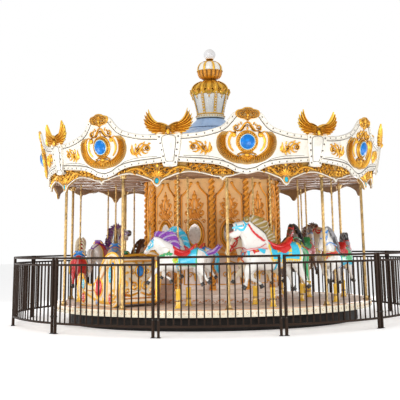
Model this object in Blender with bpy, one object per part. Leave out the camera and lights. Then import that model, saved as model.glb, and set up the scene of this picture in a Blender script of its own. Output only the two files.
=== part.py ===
"""Fairground carousel with a turning platform, eighteen galloping horses, a carriage, a painted
canopy with a crown, and the ring fence round it.

Metres, +Z up, origin on the ground at the middle of the turning axis. Angles are degrees round
that axis, counted from the side of -Y towards +X. The horses head the other way round.
"""

import math

import bmesh
import bpy
from mathutils import Matrix, Vector

# Clear gap left between fixed neighbours, and the running gap of the bearings
SEAT_GAP = 0.0003
RUNNING_GAP = 0.0005
SLIDE_GAP = 0.0008

# Low plinth that carries everything
PLINTH_RADIUS = 2.62
PLINTH_HEIGHT = 0.18
TRACK_RADIUS = 1.46
TRACK_TOP = 0.2495
COLLAR_RADIUS = 1.295
COLLAR_TOP = 0.32

# Turning platform with its cream edge band and the sleeves of the horse poles
PLATFORM_INNER = 1.30
PLATFORM_OUTER = 2.84
PLATFORM_BOTTOM = TRACK_TOP + RUNNING_GAP
PLATFORM_TOP = 0.33
BAND_OUTER = 2.88
BAND_BOTTOM = 0.222
BAND_TOP = 0.336
RING_STEPS = 36
SLEEVE_RADIUS = 0.045
SLEEVE_TOP = 0.63
SLEEVE_SIDES = 6
SLEEVE_BORE_BOTTOM = 0.275

# Bays: ten posts, and in each bay one outer and one inner place
BAYS = 10
BAY_ANGLE = 360 / BAYS
FIRST_POST_ANGLE = 5.0
FIRST_PLACE_ANGLE = -13.0
CARRIAGE_ANGLE = -49.0
POST_CIRCLE = 2.79
POST_RADIUS = 0.025
POST_SIDES = 6
POST_TOP = 2.9097
OUTER_CIRCLE = 2.45
INNER_CIRCLE = 1.80

# Twelve-sided centre drum
DRUM_SIDES = 12
DRUM_CORNER_ANGLE = 0.0
DRUM_RADIUS = 1.21
DRUM_FOOT_RADIUS = 1.285
DRUM_FOOT_TOP = 0.52
DRUM_PANEL_BOTTOM = 0.56
DRUM_PANEL_TOP = 2.30
DRUM_CORNICE_BOTTOM = 2.36
DRUM_TOP = 2.62
COLUMN_CIRCLE = 1.219
COLUMN_RADIUS = 0.058
COLUMN_SIDES = 8
COLUMN_BOTTOM = 0.45
COLUMN_TOP = 2.40
MAST_RADIUS = 0.12
MAST_TOP = 3.25

# Canopy: ceiling, frame, roof
CEILING_BOTTOM = 2.45
CEILING_TOP = 2.47
CEILING_INNER = 1.31
HUB_RADIUS = 0.42
HUB_BORE = 0.13
HUB_BOTTOM = DRUM_TOP + RUNNING_GAP
HUB_TOP = 2.76
SWEEP_WIDTH = 0.06
SWEEP_BOTTOM = 2.64
SWEEP_TOP = 2.72
BEAM_INNER = 2.74
BEAM_OUTER = 2.84
FRAME_STEPS = 20
HUB_STEPS = 12
ROOF_EDGE_RADIUS = 3.0898
ROOF_EDGE_Z = 2.88
ROOF_NECK_RADIUS = 0.20
ROOF_NECK_Z = 3.52
ROOF_THICKNESS = 0.03
ROOF_STEPS = 40

# Hanging valance: nine repeats of a scalloped edge
VALANCE_INNER = 2.965
VALANCE_OUTER = 2.993
VALANCE_TOP = 2.52
VALANCE_REPEATS = 9
VALANCE_GEM_ANGLE = -16.6
VALANCE_EDGE = (2.21, 2.365, 2.415, 2.435, 2.40, 2.29, 2.40, 2.435, 2.415, 2.365)
# The ceiling's facets end on the valance's
CEILING_STEPS = VALANCE_REPEATS * len(VALANCE_EDGE)

# Rounding boards: eight curved panels on a cone that opens upwards
BOARD_COUNT = 8
BOARD_CORNER_ANGLE = -12.0
BOARD_CONE_RADIUS = 3.03
BOARD_CONE_Z = 2.374
BOARD_LEAN = 0.195
BOARD_THICKNESS = 0.03
BOARD_END_GAP = 0.10
# Share of the half width, height of the bottom edge, height of the top edge
BOARD_EDGES = (
    (0.0, 2.374, 3.365),
    (0.13, 2.404, 3.355),
    (0.19, 2.434, 3.300),
    (0.28, 2.482, 3.200),
    (0.37, 2.512, 3.118),
    (0.53, 2.540, 3.054),
    (0.75, 2.572, 3.014),
    (1.0, 2.585, 3.005),
)
GEM_Z = 2.844
GEM_RADIUS = 0.11
GEM_SIDES = 6
GEM_DEPTH = 0.085
GEM_SINK = 0.015
GEM_TIP_SHARE = 0.55
HORSESHOE_CIRCLE = 0.365
HORSESHOE_RISE = 0.03
HORSESHOE_OUT = 0.012
HORSESHOE_THIN = 0.032
HORSESHOE_THICK = 0.058
HORSESHOE_OPEN = 260.0
HORSESHOE_STEPS = 8
HORSESHOE_SINK = 0.028
SHIELD_TOP_HALF = 0.185
SHIELD_BOTTOM_HALF = 0.095
SHIELD_TOP = 2.995
SHIELD_BOTTOM = 2.54
SHIELD_DEPTH = 0.05
SHIELD_OUT = 0.004
# Lug behind the shield that holds it to the board on its right
LUG_OUTLINE = ((0.03, 2.62), (0.12, 2.66), (0.12, 2.90), (0.03, 2.94))
LUG_REACH = 0.03
# Right wing from the middle of the pair: sideways, and height over the top of the shield
WING_OUTLINE = (
    (0.0, -0.02),
    (0.17, 0.0),
    (0.285, 0.05),
    (0.365, 0.155),
    (0.395, 0.28),
    (0.32, 0.40),
    (0.285, 0.31),
    (0.137, 0.195),
    (0.0, 0.155),
)
WING_THICKNESS = 0.03

# Crown on the roof: (radius, height) from the bottom up
CROWN_STEPS = 12
CROWN_PROFILE = (
    (0.0, 3.40),
    (0.14, 3.40),
    (0.14, 3.5203),
    (0.32, 3.5203),
    (0.31, 3.66),
    (0.255, 3.68),
    (0.25, 3.74),
    (0.31, 3.95),
    (0.365, 4.20),
    (0.28, 4.29),
    (0.205, 4.36),
    (0.125, 4.43),
    (0.20, 4.50),
    (0.24, 4.60),
    (0.20, 4.72),
    (0.10, 4.80),
    (0.06, 4.825),
    (0.10, 4.87),
    (0.118, 4.94),
    (0.09, 5.02),
    (0.0, 5.05),
)

# Ring fence: twelve curved panels
FENCE_PANELS = 12
FENCE_JOINT_ANGLE = -13.46
FENCE_CIRCLE = 3.60
FENCE_HEIGHT = 1.15
FENCE_POST = 0.04
FENCE_POST_SPACING = 0.083
FENCE_RAIL = 0.032
FENCE_RAIL_HEIGHTS = (0.155, 1.03, 1.132)
FENCE_BARS = 15
FENCE_BAR = 0.02
# Link that reaches from one panel's end post towards the next panel's: heights and half width
FENCE_LINK = (0.245, 0.261)
FENCE_LINK_HALF = 0.008
FENCE_LINK_ROOT = 0.005
FENCE_CHORDS = 3

# Horses: the horse stands round its pole, which is its own axis of travel
HORSE_MIDDLE = 1.15
POLE_RADIUS = 0.02
POLE_SIDES = 6
POLE_BOTTOM = 0.45
POLE_TOP = 2.67
BODY_SIDES = 6
LEG_SIDES = 4

# Along the body from rump to nose: forward, height, half width, half height, lean of the section
BODY_SECTIONS = (
    (-0.46, 1.09, 0.080, 0.090, 0),
    (-0.32, 1.09, 0.145, 0.160, 0),
    (-0.08, 1.05, 0.138, 0.140, 0),
    (0.17, 1.09, 0.140, 0.170, 20),
    (0.25, 1.26, 0.085, 0.152, 55),
    (0.29, 1.42, 0.058, 0.110, 50),
    (0.39, 1.43, 0.056, 0.085, -35),
    (0.54, 1.25, 0.034, 0.042, -50),
)

# Legs from the body down: forward, height, radius. Side is added to each
LEG_PATHS = (
    (0.075, ((0.17, 1.05, 0.080), (0.37, 0.90, 0.034), (0.46, 0.74, 0.036))),
    (-0.075, ((0.15, 1.05, 0.080), (0.25, 0.84, 0.034), (0.13, 0.72, 0.036))),
    (0.075, ((-0.32, 1.08, 0.095), (-0.40, 0.88, 0.036), (-0.52, 0.74, 0.036))),
    (-0.075, ((-0.32, 1.08, 0.095), (-0.28, 0.86, 0.036), (-0.40, 0.70, 0.036))),
)
TAILS = {
    "streaming": ((-0.40, 1.14, 0.045), (-0.56, 1.21, 0.055), (-0.70, 1.28, 0.020)),
    "arched": ((-0.40, 1.14, 0.045), (-0.58, 1.20, 0.055), (-0.72, 1.06, 0.020)),
    "hanging": ((-0.40, 1.14, 0.045), (-0.53, 1.06, 0.050), (-0.51, 0.84, 0.020)),
}
MANE = ((0.07, 1.22, 0.030), (0.14, 1.43, 0.050), (0.26, 1.55, 0.045), (0.345, 1.56, 0.022))
SADDLE_SECTIONS = (
    (0.07, 1.235, 0.070, 0.050),
    (-0.13, 1.175, 0.150, 0.050),
    (-0.29, 1.250, 0.090, 0.050),
)

# The three bearings of a horse, as changes to the stations above: reach of the chest forward,
# growth and turn of the neck about its root, growth and turn of the head about the poll, longer legs.
# Turns are in degrees, and up is plus
BEARINGS = {
    "level": (0.0, 1.0, 0, 1.0, 0, 0.0),
    "bowed": (0.0, 0.84, -12, 0.84, 15, 0.0),
    "proud": (0.10, 1.0, 13, 0.95, 34, 0.105),
}
NECK_ROOT = (0.22, 1.15)
POLL = (0.36, 1.45)

# Every place: angle, size, height above the middle of its travel, bearing and tail
OUTER_PLACES = (
    (-13.0, 1.0, 0.00, "bowed", "streaming"),
    (23.0, 1.14, 0.06, "proud", "hanging"),
    (59.0, 1.06, -0.02, "level", "arched"),
    (95.0, 1.06, -0.06, "bowed", "arched"),
    (131.0, 1.0, 0.08, "proud", "hanging"),
    (167.0, 1.06, -0.09, "level", "arched"),
    (203.0, 1.0, 0.03, "bowed", "streaming"),
    (239.0, 1.06, 0.09, "proud", "hanging"),
    (275.0, 1.0, -0.10, "level", "arched"),
)
INNER_PLACES = (
    (-13.0, 0.92, 0.02, "level", "hanging"),
    (23.0, 0.92, -0.06, "level", "hanging"),
    (59.0, 0.92, 0.10, "level", "hanging"),
    (95.0, 0.92, 0.02, "level", "hanging"),
    (131.0, 0.92, -0.08, "level", "hanging"),
    (167.0, 0.92, 0.05, "level", "hanging"),
    (203.0, 0.92, -0.03, "level", "hanging"),
    (239.0, 0.92, -0.10, "level", "hanging"),
    (275.0, 0.92, 0.04, "level", "hanging"),
)

# Carriage: outlines in forward and height, half width across the ring
CARRIAGE_CIRCLE = 2.12
CARRIAGE_HALF_WIDTH = 0.42
CARRIAGE_SIDE = 0.04
CARRIAGE_FLOOR = 0.40
CARRIAGE_OUTLINE = (
    (-0.46, PLATFORM_TOP + SEAT_GAP),
    (0.40, PLATFORM_TOP + SEAT_GAP),
    (0.55, 0.42),
    (0.62, 0.60),
    (0.60, 0.80),
    (0.50, 0.86),
    (0.44, 0.78),
    (0.34, 0.70),
    (0.16, 0.68),
    (0.02, 0.78),
    (-0.08, 0.98),
    (-0.22, 1.14),
    (-0.42, 1.20),
    (-0.58, 1.12),
    (-0.64, 0.90),
    (-0.60, 0.62),
)
# Boxes between the two sides: (back, low), (front, high)
CARRIAGE_TRAY = ((-0.50, 0.35), (0.48, CARRIAGE_FLOOR))
SEAT_BOX = ((-0.52, 0.38), (-0.10, 0.70))
SEAT_BACK = ((-0.60, 0.38), (-0.50, 1.12))

COLOURS = {
    "plinth_dark": (0.02, 0.02, 0.02, 1),
    "drum_gold": (0.45, 0.28, 0.10, 1),
    "deck_tan": (0.55, 0.42, 0.33, 1),
    "band_cream": (0.85, 0.78, 0.60, 1),
    "frame_brass": (0.50, 0.38, 0.20, 1),
    "ceiling_brown": (0.35, 0.28, 0.22, 1),
    "roof_blue": (0.62, 0.76, 0.85, 1),
    "crown_white": (0.85, 0.83, 0.78, 1),
    "board_gold": (0.60, 0.36, 0.08, 1),
    "valance_gold": (0.62, 0.40, 0.12, 1),
    "fence_black": (0.03, 0.025, 0.02, 1),
    "horse_white": (0.82, 0.80, 0.76, 1),
    "carriage_cream": (0.82, 0.70, 0.48, 1),
}


def clear_scene():
    for thing in list(bpy.data.objects):
        bpy.data.objects.remove(thing, do_unlink=True)


def material(name):
    found = bpy.data.materials.get(name)
    if found:
        return found
    made = bpy.data.materials.new(name)
    made.use_nodes = True
    shader = made.node_tree.nodes["Principled BSDF"]
    shader.inputs["Base Color"].default_value = COLOURS[name]
    shader.inputs["Roughness"].default_value = 0.45
    return made


def on_ring(radius, angle, z=0.0):
    turn = math.radians(angle)
    return Vector((radius * math.sin(turn), -radius * math.cos(turn), z))


def turned(angle):
    """Turn about +Z that carries the side of -Y to this angle."""
    return Matrix.Rotation(math.radians(angle), 4, "Z")


def place_frame(circle, angle):
    """Frame of a rider's place: local +X heads along the ring, local +Y points away from the axis."""
    return Matrix.Translation(on_ring(circle, angle)) @ turned(angle + 180)


def mesh_from(bm, name):
    bmesh.ops.recalc_face_normals(bm, faces=bm.faces)
    mesh = bpy.data.meshes.new(name)
    bm.to_mesh(mesh)
    bm.free()
    return mesh


def add_object(name, mesh, slot, matrix=None, smooth=None):
    made = bpy.data.objects.new(name, mesh)
    bpy.context.scene.collection.objects.link(made)
    if matrix is not None:
        made.matrix_world = matrix
    if not mesh.materials:
        mesh.materials.append(material(slot))
    if smooth is not None:
        mesh.shade_smooth()
        mesh.set_sharp_from_angle(angle=math.radians(smooth))
    return made


def revolve(profile, steps, start=0.0, closed=True):
    """Spin a (radius, height) outline round the axis. An open outline starts and ends on the axis."""
    bm = bmesh.new()
    points = [bm.verts.new(on_ring(radius, start, z)) for radius, z in profile]
    edges = [bm.edges.new(pair) for pair in zip(points, points[1:])]
    if closed:
        edges.append(bm.edges.new((points[-1], points[0])))
    bmesh.ops.spin(
        bm,
        geom=points + edges,
        cent=(0, 0, 0),
        axis=(0, 0, 1),
        angle=2 * math.pi,
        steps=steps,
        use_merge=True,
    )
    bmesh.ops.remove_doubles(bm, verts=bm.verts, dist=1e-5)
    return mesh_from(bm, "revolved")


def extrude_outline(outline, low, high, matrix=None):
    """Plate with this outline in local X and Z, from local Y = low to high."""
    bm = bmesh.new()
    face = bm.faces.new([bm.verts.new((x, low, z)) for x, z in outline])
    made = bmesh.ops.extrude_face_region(bm, geom=[face])
    moved = [item for item in made["geom"] if isinstance(item, bmesh.types.BMVert)]
    bmesh.ops.translate(bm, verts=moved, vec=(0, high - low, 0))
    if matrix is not None:
        bmesh.ops.transform(bm, matrix=matrix, verts=bm.verts)
    return mesh_from(bm, "plate")


def prism(circle_radius, sides, low, high, centre=(0, 0), turn=0.0):
    bm = bmesh.new()
    height = high - low
    where = Matrix.Translation((centre[0], centre[1], low + height / 2)) @ Matrix.Rotation(
        math.radians(turn), 4, "Z"
    )
    bmesh.ops.create_cone(
        bm,
        cap_ends=True,
        segments=sides,
        radius1=circle_radius,
        radius2=circle_radius,
        depth=height,
        matrix=where,
    )
    return mesh_from(bm, "prism")


def box(low, high, matrix=None):
    bm = bmesh.new()
    size = [b - a for a, b in zip(low, high)]
    middle = [(a + b) / 2 for a, b in zip(low, high)]
    where = Matrix.Translation(middle) @ Matrix.Diagonal((*size, 1))
    bmesh.ops.create_cube(bm, size=1, matrix=where)
    if matrix is not None:
        bmesh.ops.transform(bm, matrix=matrix, verts=bm.verts)
    return mesh_from(bm, "box")


def loft(sections, sides):
    """Closed body through ellipses. A section is (centre, half width, half height, lean in degrees):
    at no lean it stands across local X."""
    bm = bmesh.new()
    rings = []
    for centre, half_width, half_height, lean in sections:
        # create_circle lies flat: stand it up across X, then lean it about Y
        upright = Matrix.Rotation(math.radians(-lean), 4, "Y") @ Matrix.Rotation(math.radians(90), 4, "Y")
        shape = Matrix.Diagonal((half_height, half_width, 1, 1))
        made = bmesh.ops.create_circle(
            bm,
            cap_ends=False,
            segments=sides,
            radius=1.0,
            matrix=Matrix.Translation(centre) @ upright @ shape,
        )
        rings.append(made["verts"])
    for first, second in zip(rings, rings[1:]):
        for i in range(sides):
            j = (i + 1) % sides
            bm.faces.new((first[i], first[j], second[j], second[i]))
    bm.faces.new(rings[0])
    bm.faces.new(rings[-1])
    return mesh_from(bm, "loft")


def limb(path, sides, side=0.0):
    """Round limb through (forward, height, radius) points, each section square to the path."""
    points = [Vector((x, side, z)) for x, z, _ in path]
    sections = []
    for i, point in enumerate(points):
        before = points[max(i - 1, 0)]
        after = points[min(i + 1, len(points) - 1)]
        way = after - before
        lean = math.degrees(math.atan2(way.z, way.x))
        sections.append((point, path[i][2], path[i][2], lean))
    return loft(sections, sides)


def combine(meshes, operation, body=None):
    """One mesh from many with Blender's exact solver: all joined, or all cut from the body."""
    group = bpy.data.collections.new("tools")
    tools = [bpy.data.objects.new("tool", mesh) for mesh in (meshes if body else meshes[1:])]
    for tool in tools:
        group.objects.link(tool)
        tool.hide_render = True
        tool.display_type = "WIRE"
    base = bpy.data.objects.new("base", body or meshes[0])
    bpy.context.scene.collection.objects.link(base)
    bpy.context.scene.collection.children.link(group)
    step = base.modifiers.new("combine", "BOOLEAN")
    step.operation = operation
    step.solver = "EXACT"
    step.operand_type = "COLLECTION"
    step.collection = group
    bpy.context.view_layer.update()
    graph = bpy.context.evaluated_depsgraph_get()
    result = bpy.data.meshes.new_from_object(base.evaluated_get(graph), depsgraph=graph)
    result.materials.clear()
    for thing in (base, *tools):
        bpy.data.objects.remove(thing, do_unlink=True)
    bpy.data.collections.remove(group)
    return result


def fused(meshes):
    return combine(meshes, "UNION")


def cut(body, cutters):
    return combine(cutters, "DIFFERENCE", body)


def place_positions():
    """(circle, angle) of every horse pole."""
    outer = [(OUTER_CIRCLE, angle) for angle, *_ in OUTER_PLACES]
    inner = [(INNER_CIRCLE, angle) for angle, *_ in INNER_PLACES]
    return outer + inner


def pole_prisms(radius, low, high):
    found = []
    for circle, angle in place_positions():
        centre = on_ring(circle, angle)
        found.append(prism(radius, POLE_SIDES, low, high, (centre.x, centre.y), angle))
    return found


def build_plinth():
    profile = (
        (0, 0),
        (PLINTH_RADIUS, 0),
        (PLINTH_RADIUS, PLINTH_HEIGHT),
        (TRACK_RADIUS, PLINTH_HEIGHT),
        (TRACK_RADIUS, TRACK_TOP),
        (COLLAR_RADIUS, TRACK_TOP),
        (COLLAR_RADIUS, COLLAR_TOP),
        (0, COLLAR_TOP),
    )
    add_object("base_plinth", revolve(profile, RING_STEPS, closed=False), "plinth_dark", smooth=35)


def build_drum():
    low = COLLAR_TOP + SEAT_GAP
    profile = (
        (0, low),
        (DRUM_FOOT_RADIUS, low),
        (DRUM_FOOT_RADIUS, DRUM_FOOT_TOP),
        (DRUM_RADIUS, DRUM_PANEL_BOTTOM),
        (DRUM_RADIUS, DRUM_PANEL_TOP),
        (DRUM_FOOT_RADIUS, DRUM_CORNICE_BOTTOM),
        (DRUM_FOOT_RADIUS, DRUM_TOP),
        (MAST_RADIUS, DRUM_TOP),
        (MAST_RADIUS, MAST_TOP),
        (0, MAST_TOP),
    )
    drum = revolve(profile, DRUM_SIDES, DRUM_CORNER_ANGLE, closed=False)
    columns = []
    for i in range(DRUM_SIDES):
        angle = DRUM_CORNER_ANGLE + i * 360 / DRUM_SIDES
        centre = on_ring(COLUMN_CIRCLE, angle)
        columns.append(
            prism(
                COLUMN_RADIUS,
                COLUMN_SIDES,
                COLUMN_BOTTOM,
                COLUMN_TOP,
                (centre.x, centre.y),
                angle,
            )
        )
    add_object("center_drum", fused([drum, *columns]), "drum_gold", smooth=35)


def build_platform():
    deck = revolve(
        (
            (PLATFORM_INNER, PLATFORM_BOTTOM),
            (PLATFORM_OUTER, PLATFORM_BOTTOM),
            (PLATFORM_OUTER, PLATFORM_TOP),
            (PLATFORM_INNER, PLATFORM_TOP),
        ),
        RING_STEPS,
    )
    sleeves = []
    for circle, angle in place_positions():
        centre = on_ring(circle, angle)
        sleeves.append(
            prism(SLEEVE_RADIUS, SLEEVE_SIDES, PLATFORM_TOP - 0.02, SLEEVE_TOP, (centre.x, centre.y), angle)
        )
    bores = pole_prisms(POLE_RADIUS + SLIDE_GAP, SLEEVE_BORE_BOTTOM, SLEEVE_TOP + 0.1)
    add_object("platform", cut(fused([deck, *sleeves]), bores), "deck_tan", smooth=35)
    band = revolve(
        (
            (PLATFORM_OUTER + SEAT_GAP, BAND_BOTTOM),
            (BAND_OUTER, BAND_BOTTOM),
            (BAND_OUTER, BAND_TOP),
            (PLATFORM_OUTER + SEAT_GAP, BAND_TOP),
        ),
        RING_STEPS,
    )
    add_object("platform_band", band, "band_cream", smooth=35)


def build_canopy_frame():
    ring = revolve(
        (
            (BEAM_INNER, SWEEP_BOTTOM),
            (BEAM_OUTER, SWEEP_BOTTOM),
            (BEAM_OUTER, SWEEP_TOP),
            (BEAM_INNER, SWEEP_TOP),
        ),
        FRAME_STEPS,
    )
    hub = revolve(
        (
            (HUB_BORE, HUB_BOTTOM),
            (HUB_RADIUS, HUB_BOTTOM),
            (HUB_RADIUS, HUB_TOP),
            (HUB_BORE, HUB_TOP),
        ),
        HUB_STEPS,
    )
    pieces = [ring, hub]
    for i in range(BAYS):
        angle = FIRST_POST_ANGLE + i * BAY_ANGLE
        sweep = box(
            (-SWEEP_WIDTH / 2, -(BEAM_INNER + 0.05), SWEEP_BOTTOM + 0.01),
            (SWEEP_WIDTH / 2, -(HUB_RADIUS - 0.08), SWEEP_TOP - 0.01),
            turned(angle),
        )
        centre = on_ring(POST_CIRCLE, angle)
        post = prism(
            POST_RADIUS,
            POST_SIDES,
            PLATFORM_TOP + SEAT_GAP,
            POST_TOP,
            (centre.x, centre.y),
            angle,
        )
        pieces += [sweep, post]
    add_object("canopy_frame", fused(pieces), "frame_brass", smooth=35)


def build_ceiling():
    plate = revolve(
        (
            (CEILING_INNER, CEILING_BOTTOM),
            (VALANCE_INNER - SEAT_GAP, CEILING_BOTTOM),
            (VALANCE_INNER - SEAT_GAP, CEILING_TOP),
            (CEILING_INNER, CEILING_TOP),
        ),
        CEILING_STEPS,
        VALANCE_GEM_ANGLE,
    )
    holes = pole_prisms(POLE_RADIUS + SLIDE_GAP, CEILING_BOTTOM - 0.1, CEILING_TOP + 0.1)
    for i in range(BAYS):
        angle = FIRST_POST_ANGLE + i * BAY_ANGLE
        centre = on_ring(POST_CIRCLE, angle)
        holes.append(
            prism(
                POST_RADIUS + SEAT_GAP,
                POST_SIDES,
                CEILING_BOTTOM - 0.1,
                CEILING_TOP + 0.1,
                (centre.x, centre.y),
                angle,
            )
        )
    add_object("ceiling", cut(plate, holes), "ceiling_brown", smooth=35)


def build_roof():
    profile = (
        (ROOF_NECK_RADIUS, ROOF_NECK_Z - ROOF_THICKNESS),
        (ROOF_EDGE_RADIUS, ROOF_EDGE_Z - ROOF_THICKNESS),
        (ROOF_EDGE_RADIUS, ROOF_EDGE_Z),
        (ROOF_NECK_RADIUS, ROOF_NECK_Z),
    )
    # the steps fall alike behind every board
    add_object("roof", revolve(profile, ROOF_STEPS, BOARD_CORNER_ANGLE), "roof_blue", smooth=35)


def build_crown():
    add_object("crown", revolve(CROWN_PROFILE, CROWN_STEPS, closed=False), "crown_white", smooth=50)


def build_valance():
    repeat = 360 / VALANCE_REPEATS
    steps = len(VALANCE_EDGE)
    bm = bmesh.new()
    rows = []
    for i in range(VALANCE_REPEATS):
        for j, edge in enumerate(VALANCE_EDGE):
            angle = VALANCE_GEM_ANGLE + (i + j / steps) * repeat
            corners = (
                (VALANCE_INNER, edge),
                (VALANCE_OUTER, edge),
                (VALANCE_OUTER, VALANCE_TOP),
                (VALANCE_INNER, VALANCE_TOP),
            )
            rows.append([bm.verts.new(on_ring(radius, angle, z)) for radius, z in corners])
    for first, second in zip(rows, rows[1:] + rows[:1]):
        for k in range(4):
            m = (k + 1) % 4
            bm.faces.new((first[k], first[m], second[m], second[k]))
    add_object("valance", mesh_from(bm, "valance"), "valance_gold", smooth=35)


def cone_radius(z):
    return BOARD_CONE_RADIUS + BOARD_LEAN * (z - BOARD_CONE_Z)


def board_frame(z, out=0.0):
    """Frame on the outer face of a board at the middle of its width: local -Y is outwards."""
    lean = math.atan(BOARD_LEAN)
    return Matrix.Translation((0, -(cone_radius(z) + out), z)) @ Matrix.Rotation(lean, 4, "X")


def board_panel():
    """Curved plate with a wavy top and bottom edge, centred on the side of -Y."""
    half_angle = 360 / BOARD_COUNT / 2
    reach = half_angle - math.degrees(BOARD_END_GAP / 2 / BOARD_CONE_RADIUS)
    left = [(-share, low, high) for share, low, high in reversed(BOARD_EDGES)]
    bm = bmesh.new()
    rows = []
    for share, low, high in left + list(BOARD_EDGES[1:]):
        angle = share * reach
        corners = (
            (cone_radius(low) - BOARD_THICKNESS, low),
            (cone_radius(low), low),
            (cone_radius(high), high),
            (cone_radius(high) - BOARD_THICKNESS, high),
        )
        rows.append([bm.verts.new(on_ring(radius, angle, z)) for radius, z in corners])
    for first, second in zip(rows, rows[1:]):
        for k in range(4):
            m = (k + 1) % 4
            bm.faces.new((first[k], first[m], second[m], second[k]))
    bm.faces.new(rows[0])
    bm.faces.new(rows[-1])
    return mesh_from(bm, "panel")


def board_gem():
    seat = board_frame(GEM_Z) @ Matrix.Translation((0, GEM_SINK - GEM_DEPTH / 2, 0))
    bm = bmesh.new()
    bmesh.ops.create_cone(
        bm,
        cap_ends=True,
        segments=GEM_SIDES,
        radius1=GEM_RADIUS,
        radius2=GEM_RADIUS * GEM_TIP_SHARE,
        depth=GEM_DEPTH,
        matrix=seat @ Matrix.Rotation(math.radians(90), 4, "X"),
    )
    return mesh_from(bm, "gem")


def board_horseshoe():
    """Round bar bent to a horseshoe, open at the top, half sunk in the board."""
    frame = board_frame(GEM_Z, HORSESHOE_OUT)
    steps = HORSESHOE_STEPS
    bm = bmesh.new()
    rings = []
    for i in range(steps + 1):
        share = i / steps
        turn = math.radians(270 + (share - 0.5) * HORSESHOE_OPEN)
        radial = Vector((math.cos(turn), 0, math.sin(turn)))
        centre = radial * HORSESHOE_CIRCLE
        centre.z += HORSESHOE_RISE
        swell = math.sin(math.pi * share)
        thick = HORSESHOE_THIN + (HORSESHOE_THICK - HORSESHOE_THIN) * swell
        corners = (
            centre + radial * thick,
            centre + Vector((0, -thick, 0)),
            centre - radial * thick,
            centre + Vector((0, HORSESHOE_SINK, 0)),
        )
        rings.append([bm.verts.new(frame @ corner) for corner in corners])
    for first, second in zip(rings, rings[1:]):
        for k in range(4):
            m = (k + 1) % 4
            bm.faces.new((first[k], first[m], second[m], second[k]))
    bm.faces.new(rings[0])
    bm.faces.new(rings[-1])
    return mesh_from(bm, "horseshoe")


def board_shield():
    """Tapered plate with a pair of wings over the joint on one side of the board."""
    outline = (
        (-SHIELD_BOTTOM_HALF, SHIELD_BOTTOM),
        (SHIELD_BOTTOM_HALF, SHIELD_BOTTOM),
        (SHIELD_TOP_HALF, SHIELD_TOP),
        (-SHIELD_TOP_HALF, SHIELD_TOP),
    )
    lean = math.atan(BOARD_LEAN)
    out = cone_radius(SHIELD_BOTTOM) + SHIELD_OUT
    stand = (
        turned(-360 / BOARD_COUNT / 2)
        @ Matrix.Translation((0, -out, SHIELD_BOTTOM))
        @ Matrix.Rotation(lean, 4, "X")
        @ Matrix.Translation((0, 0, -SHIELD_BOTTOM))
    )
    plate = extrude_outline(outline, -SHIELD_DEPTH, 0, stand)
    lug = extrude_outline(LUG_OUTLINE, -SHIELD_DEPTH / 2, LUG_REACH, stand)
    right = [(x, SHIELD_TOP + z) for x, z in WING_OUTLINE]
    left = [(-x, z) for x, z in reversed(right)]
    front = -(SHIELD_DEPTH + WING_THICKNESS) / 2
    wings = extrude_outline(right + left[1:-1], front, front + WING_THICKNESS, stand)
    return [plate, lug, wings]


def build_boards():
    board = fused([board_panel(), board_gem(), board_horseshoe(), *board_shield()])
    for i in range(BOARD_COUNT):
        angle = BOARD_CORNER_ANGLE + (i + 0.5) * 360 / BOARD_COUNT
        add_object(f"rounding_board_{i + 1:02d}", board, "board_gold", turned(angle), smooth=30)


def fence_panel():
    """Curved panel centred on the side of -Y, made of straight chords."""
    whole = 360 / FENCE_PANELS
    end = whole / 2 - math.degrees(FENCE_POST_SPACING / 2 / FENCE_CIRCLE)
    chord = 2 * end / FENCE_CHORDS
    pieces = []
    for z in FENCE_RAIL_HEIGHTS:
        bm = bmesh.new()
        rows = []
        half = FENCE_RAIL / 2
        for i in range(FENCE_CHORDS + 1):
            angle = -end + i * chord
            corners = (
                (FENCE_CIRCLE - half, z - half),
                (FENCE_CIRCLE + half, z - half),
                (FENCE_CIRCLE + half, z + half),
                (FENCE_CIRCLE - half, z + half),
            )
            rows.append([bm.verts.new(on_ring(radius, angle, height)) for radius, height in corners])
        for first, second in zip(rows, rows[1:]):
            for k in range(4):
                m = (k + 1) % 4
                bm.faces.new((first[k], first[m], second[m], second[k]))
        bm.faces.new(rows[0])
        bm.faces.new(rows[-1])
        pieces.append(mesh_from(bm, "rail"))
    spacing = 2 * end / (FENCE_BARS + 1)
    for i in range(FENCE_BARS):
        angle = -end + (i + 1) * spacing
        # the chord lies a little inside the circle between its ends
        middle = (math.floor((angle + end) / chord - 1e-9) + 0.5) * chord - end
        radius = FENCE_CIRCLE * math.cos(math.radians(chord / 2)) / math.cos(math.radians(angle - middle))
        half = FENCE_BAR / 2
        pieces.append(
            box(
                (-half, -radius - half, FENCE_RAIL_HEIGHTS[0]),
                (half, -radius + half, FENCE_RAIL_HEIGHTS[1]),
                turned(angle),
            )
        )
    half = FENCE_POST / 2
    for side in (-1, 1):
        pieces.append(
            box(
                (-half, -FENCE_CIRCLE - half, 0),
                (half, -FENCE_CIRCLE + half, FENCE_HEIGHT),
                turned(side * end),
            )
        )
    pieces.append(
        box(
            (half - FENCE_LINK_ROOT, -FENCE_CIRCLE - FENCE_LINK_HALF, FENCE_LINK[0]),
            (FENCE_POST_SPACING - half - SEAT_GAP * 2, -FENCE_CIRCLE + FENCE_LINK_HALF, FENCE_LINK[1]),
            turned(end),
        )
    )
    return fused(pieces)


def build_fence():
    panel = fence_panel()
    for i in range(FENCE_PANELS):
        angle = FENCE_JOINT_ANGLE + (i + 0.5) * 360 / FENCE_PANELS
        add_object(f"fence_panel_{i + 1:02d}", panel, "fence_black", turned(angle))


def eased(share):
    """Share from 0 to 1 with a soft start and end."""
    share = min(max(share, 0.0), 1.0)
    return share * share * (3 - 2 * share)


def turned_about(point, centre, angle, growth):
    turn = math.radians(angle)
    across, up = (point[0] - centre[0]) * growth, (point[1] - centre[1]) * growth
    return (
        centre[0] + across * math.cos(turn) - up * math.sin(turn),
        centre[1] + across * math.sin(turn) + up * math.cos(turn),
    )


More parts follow.
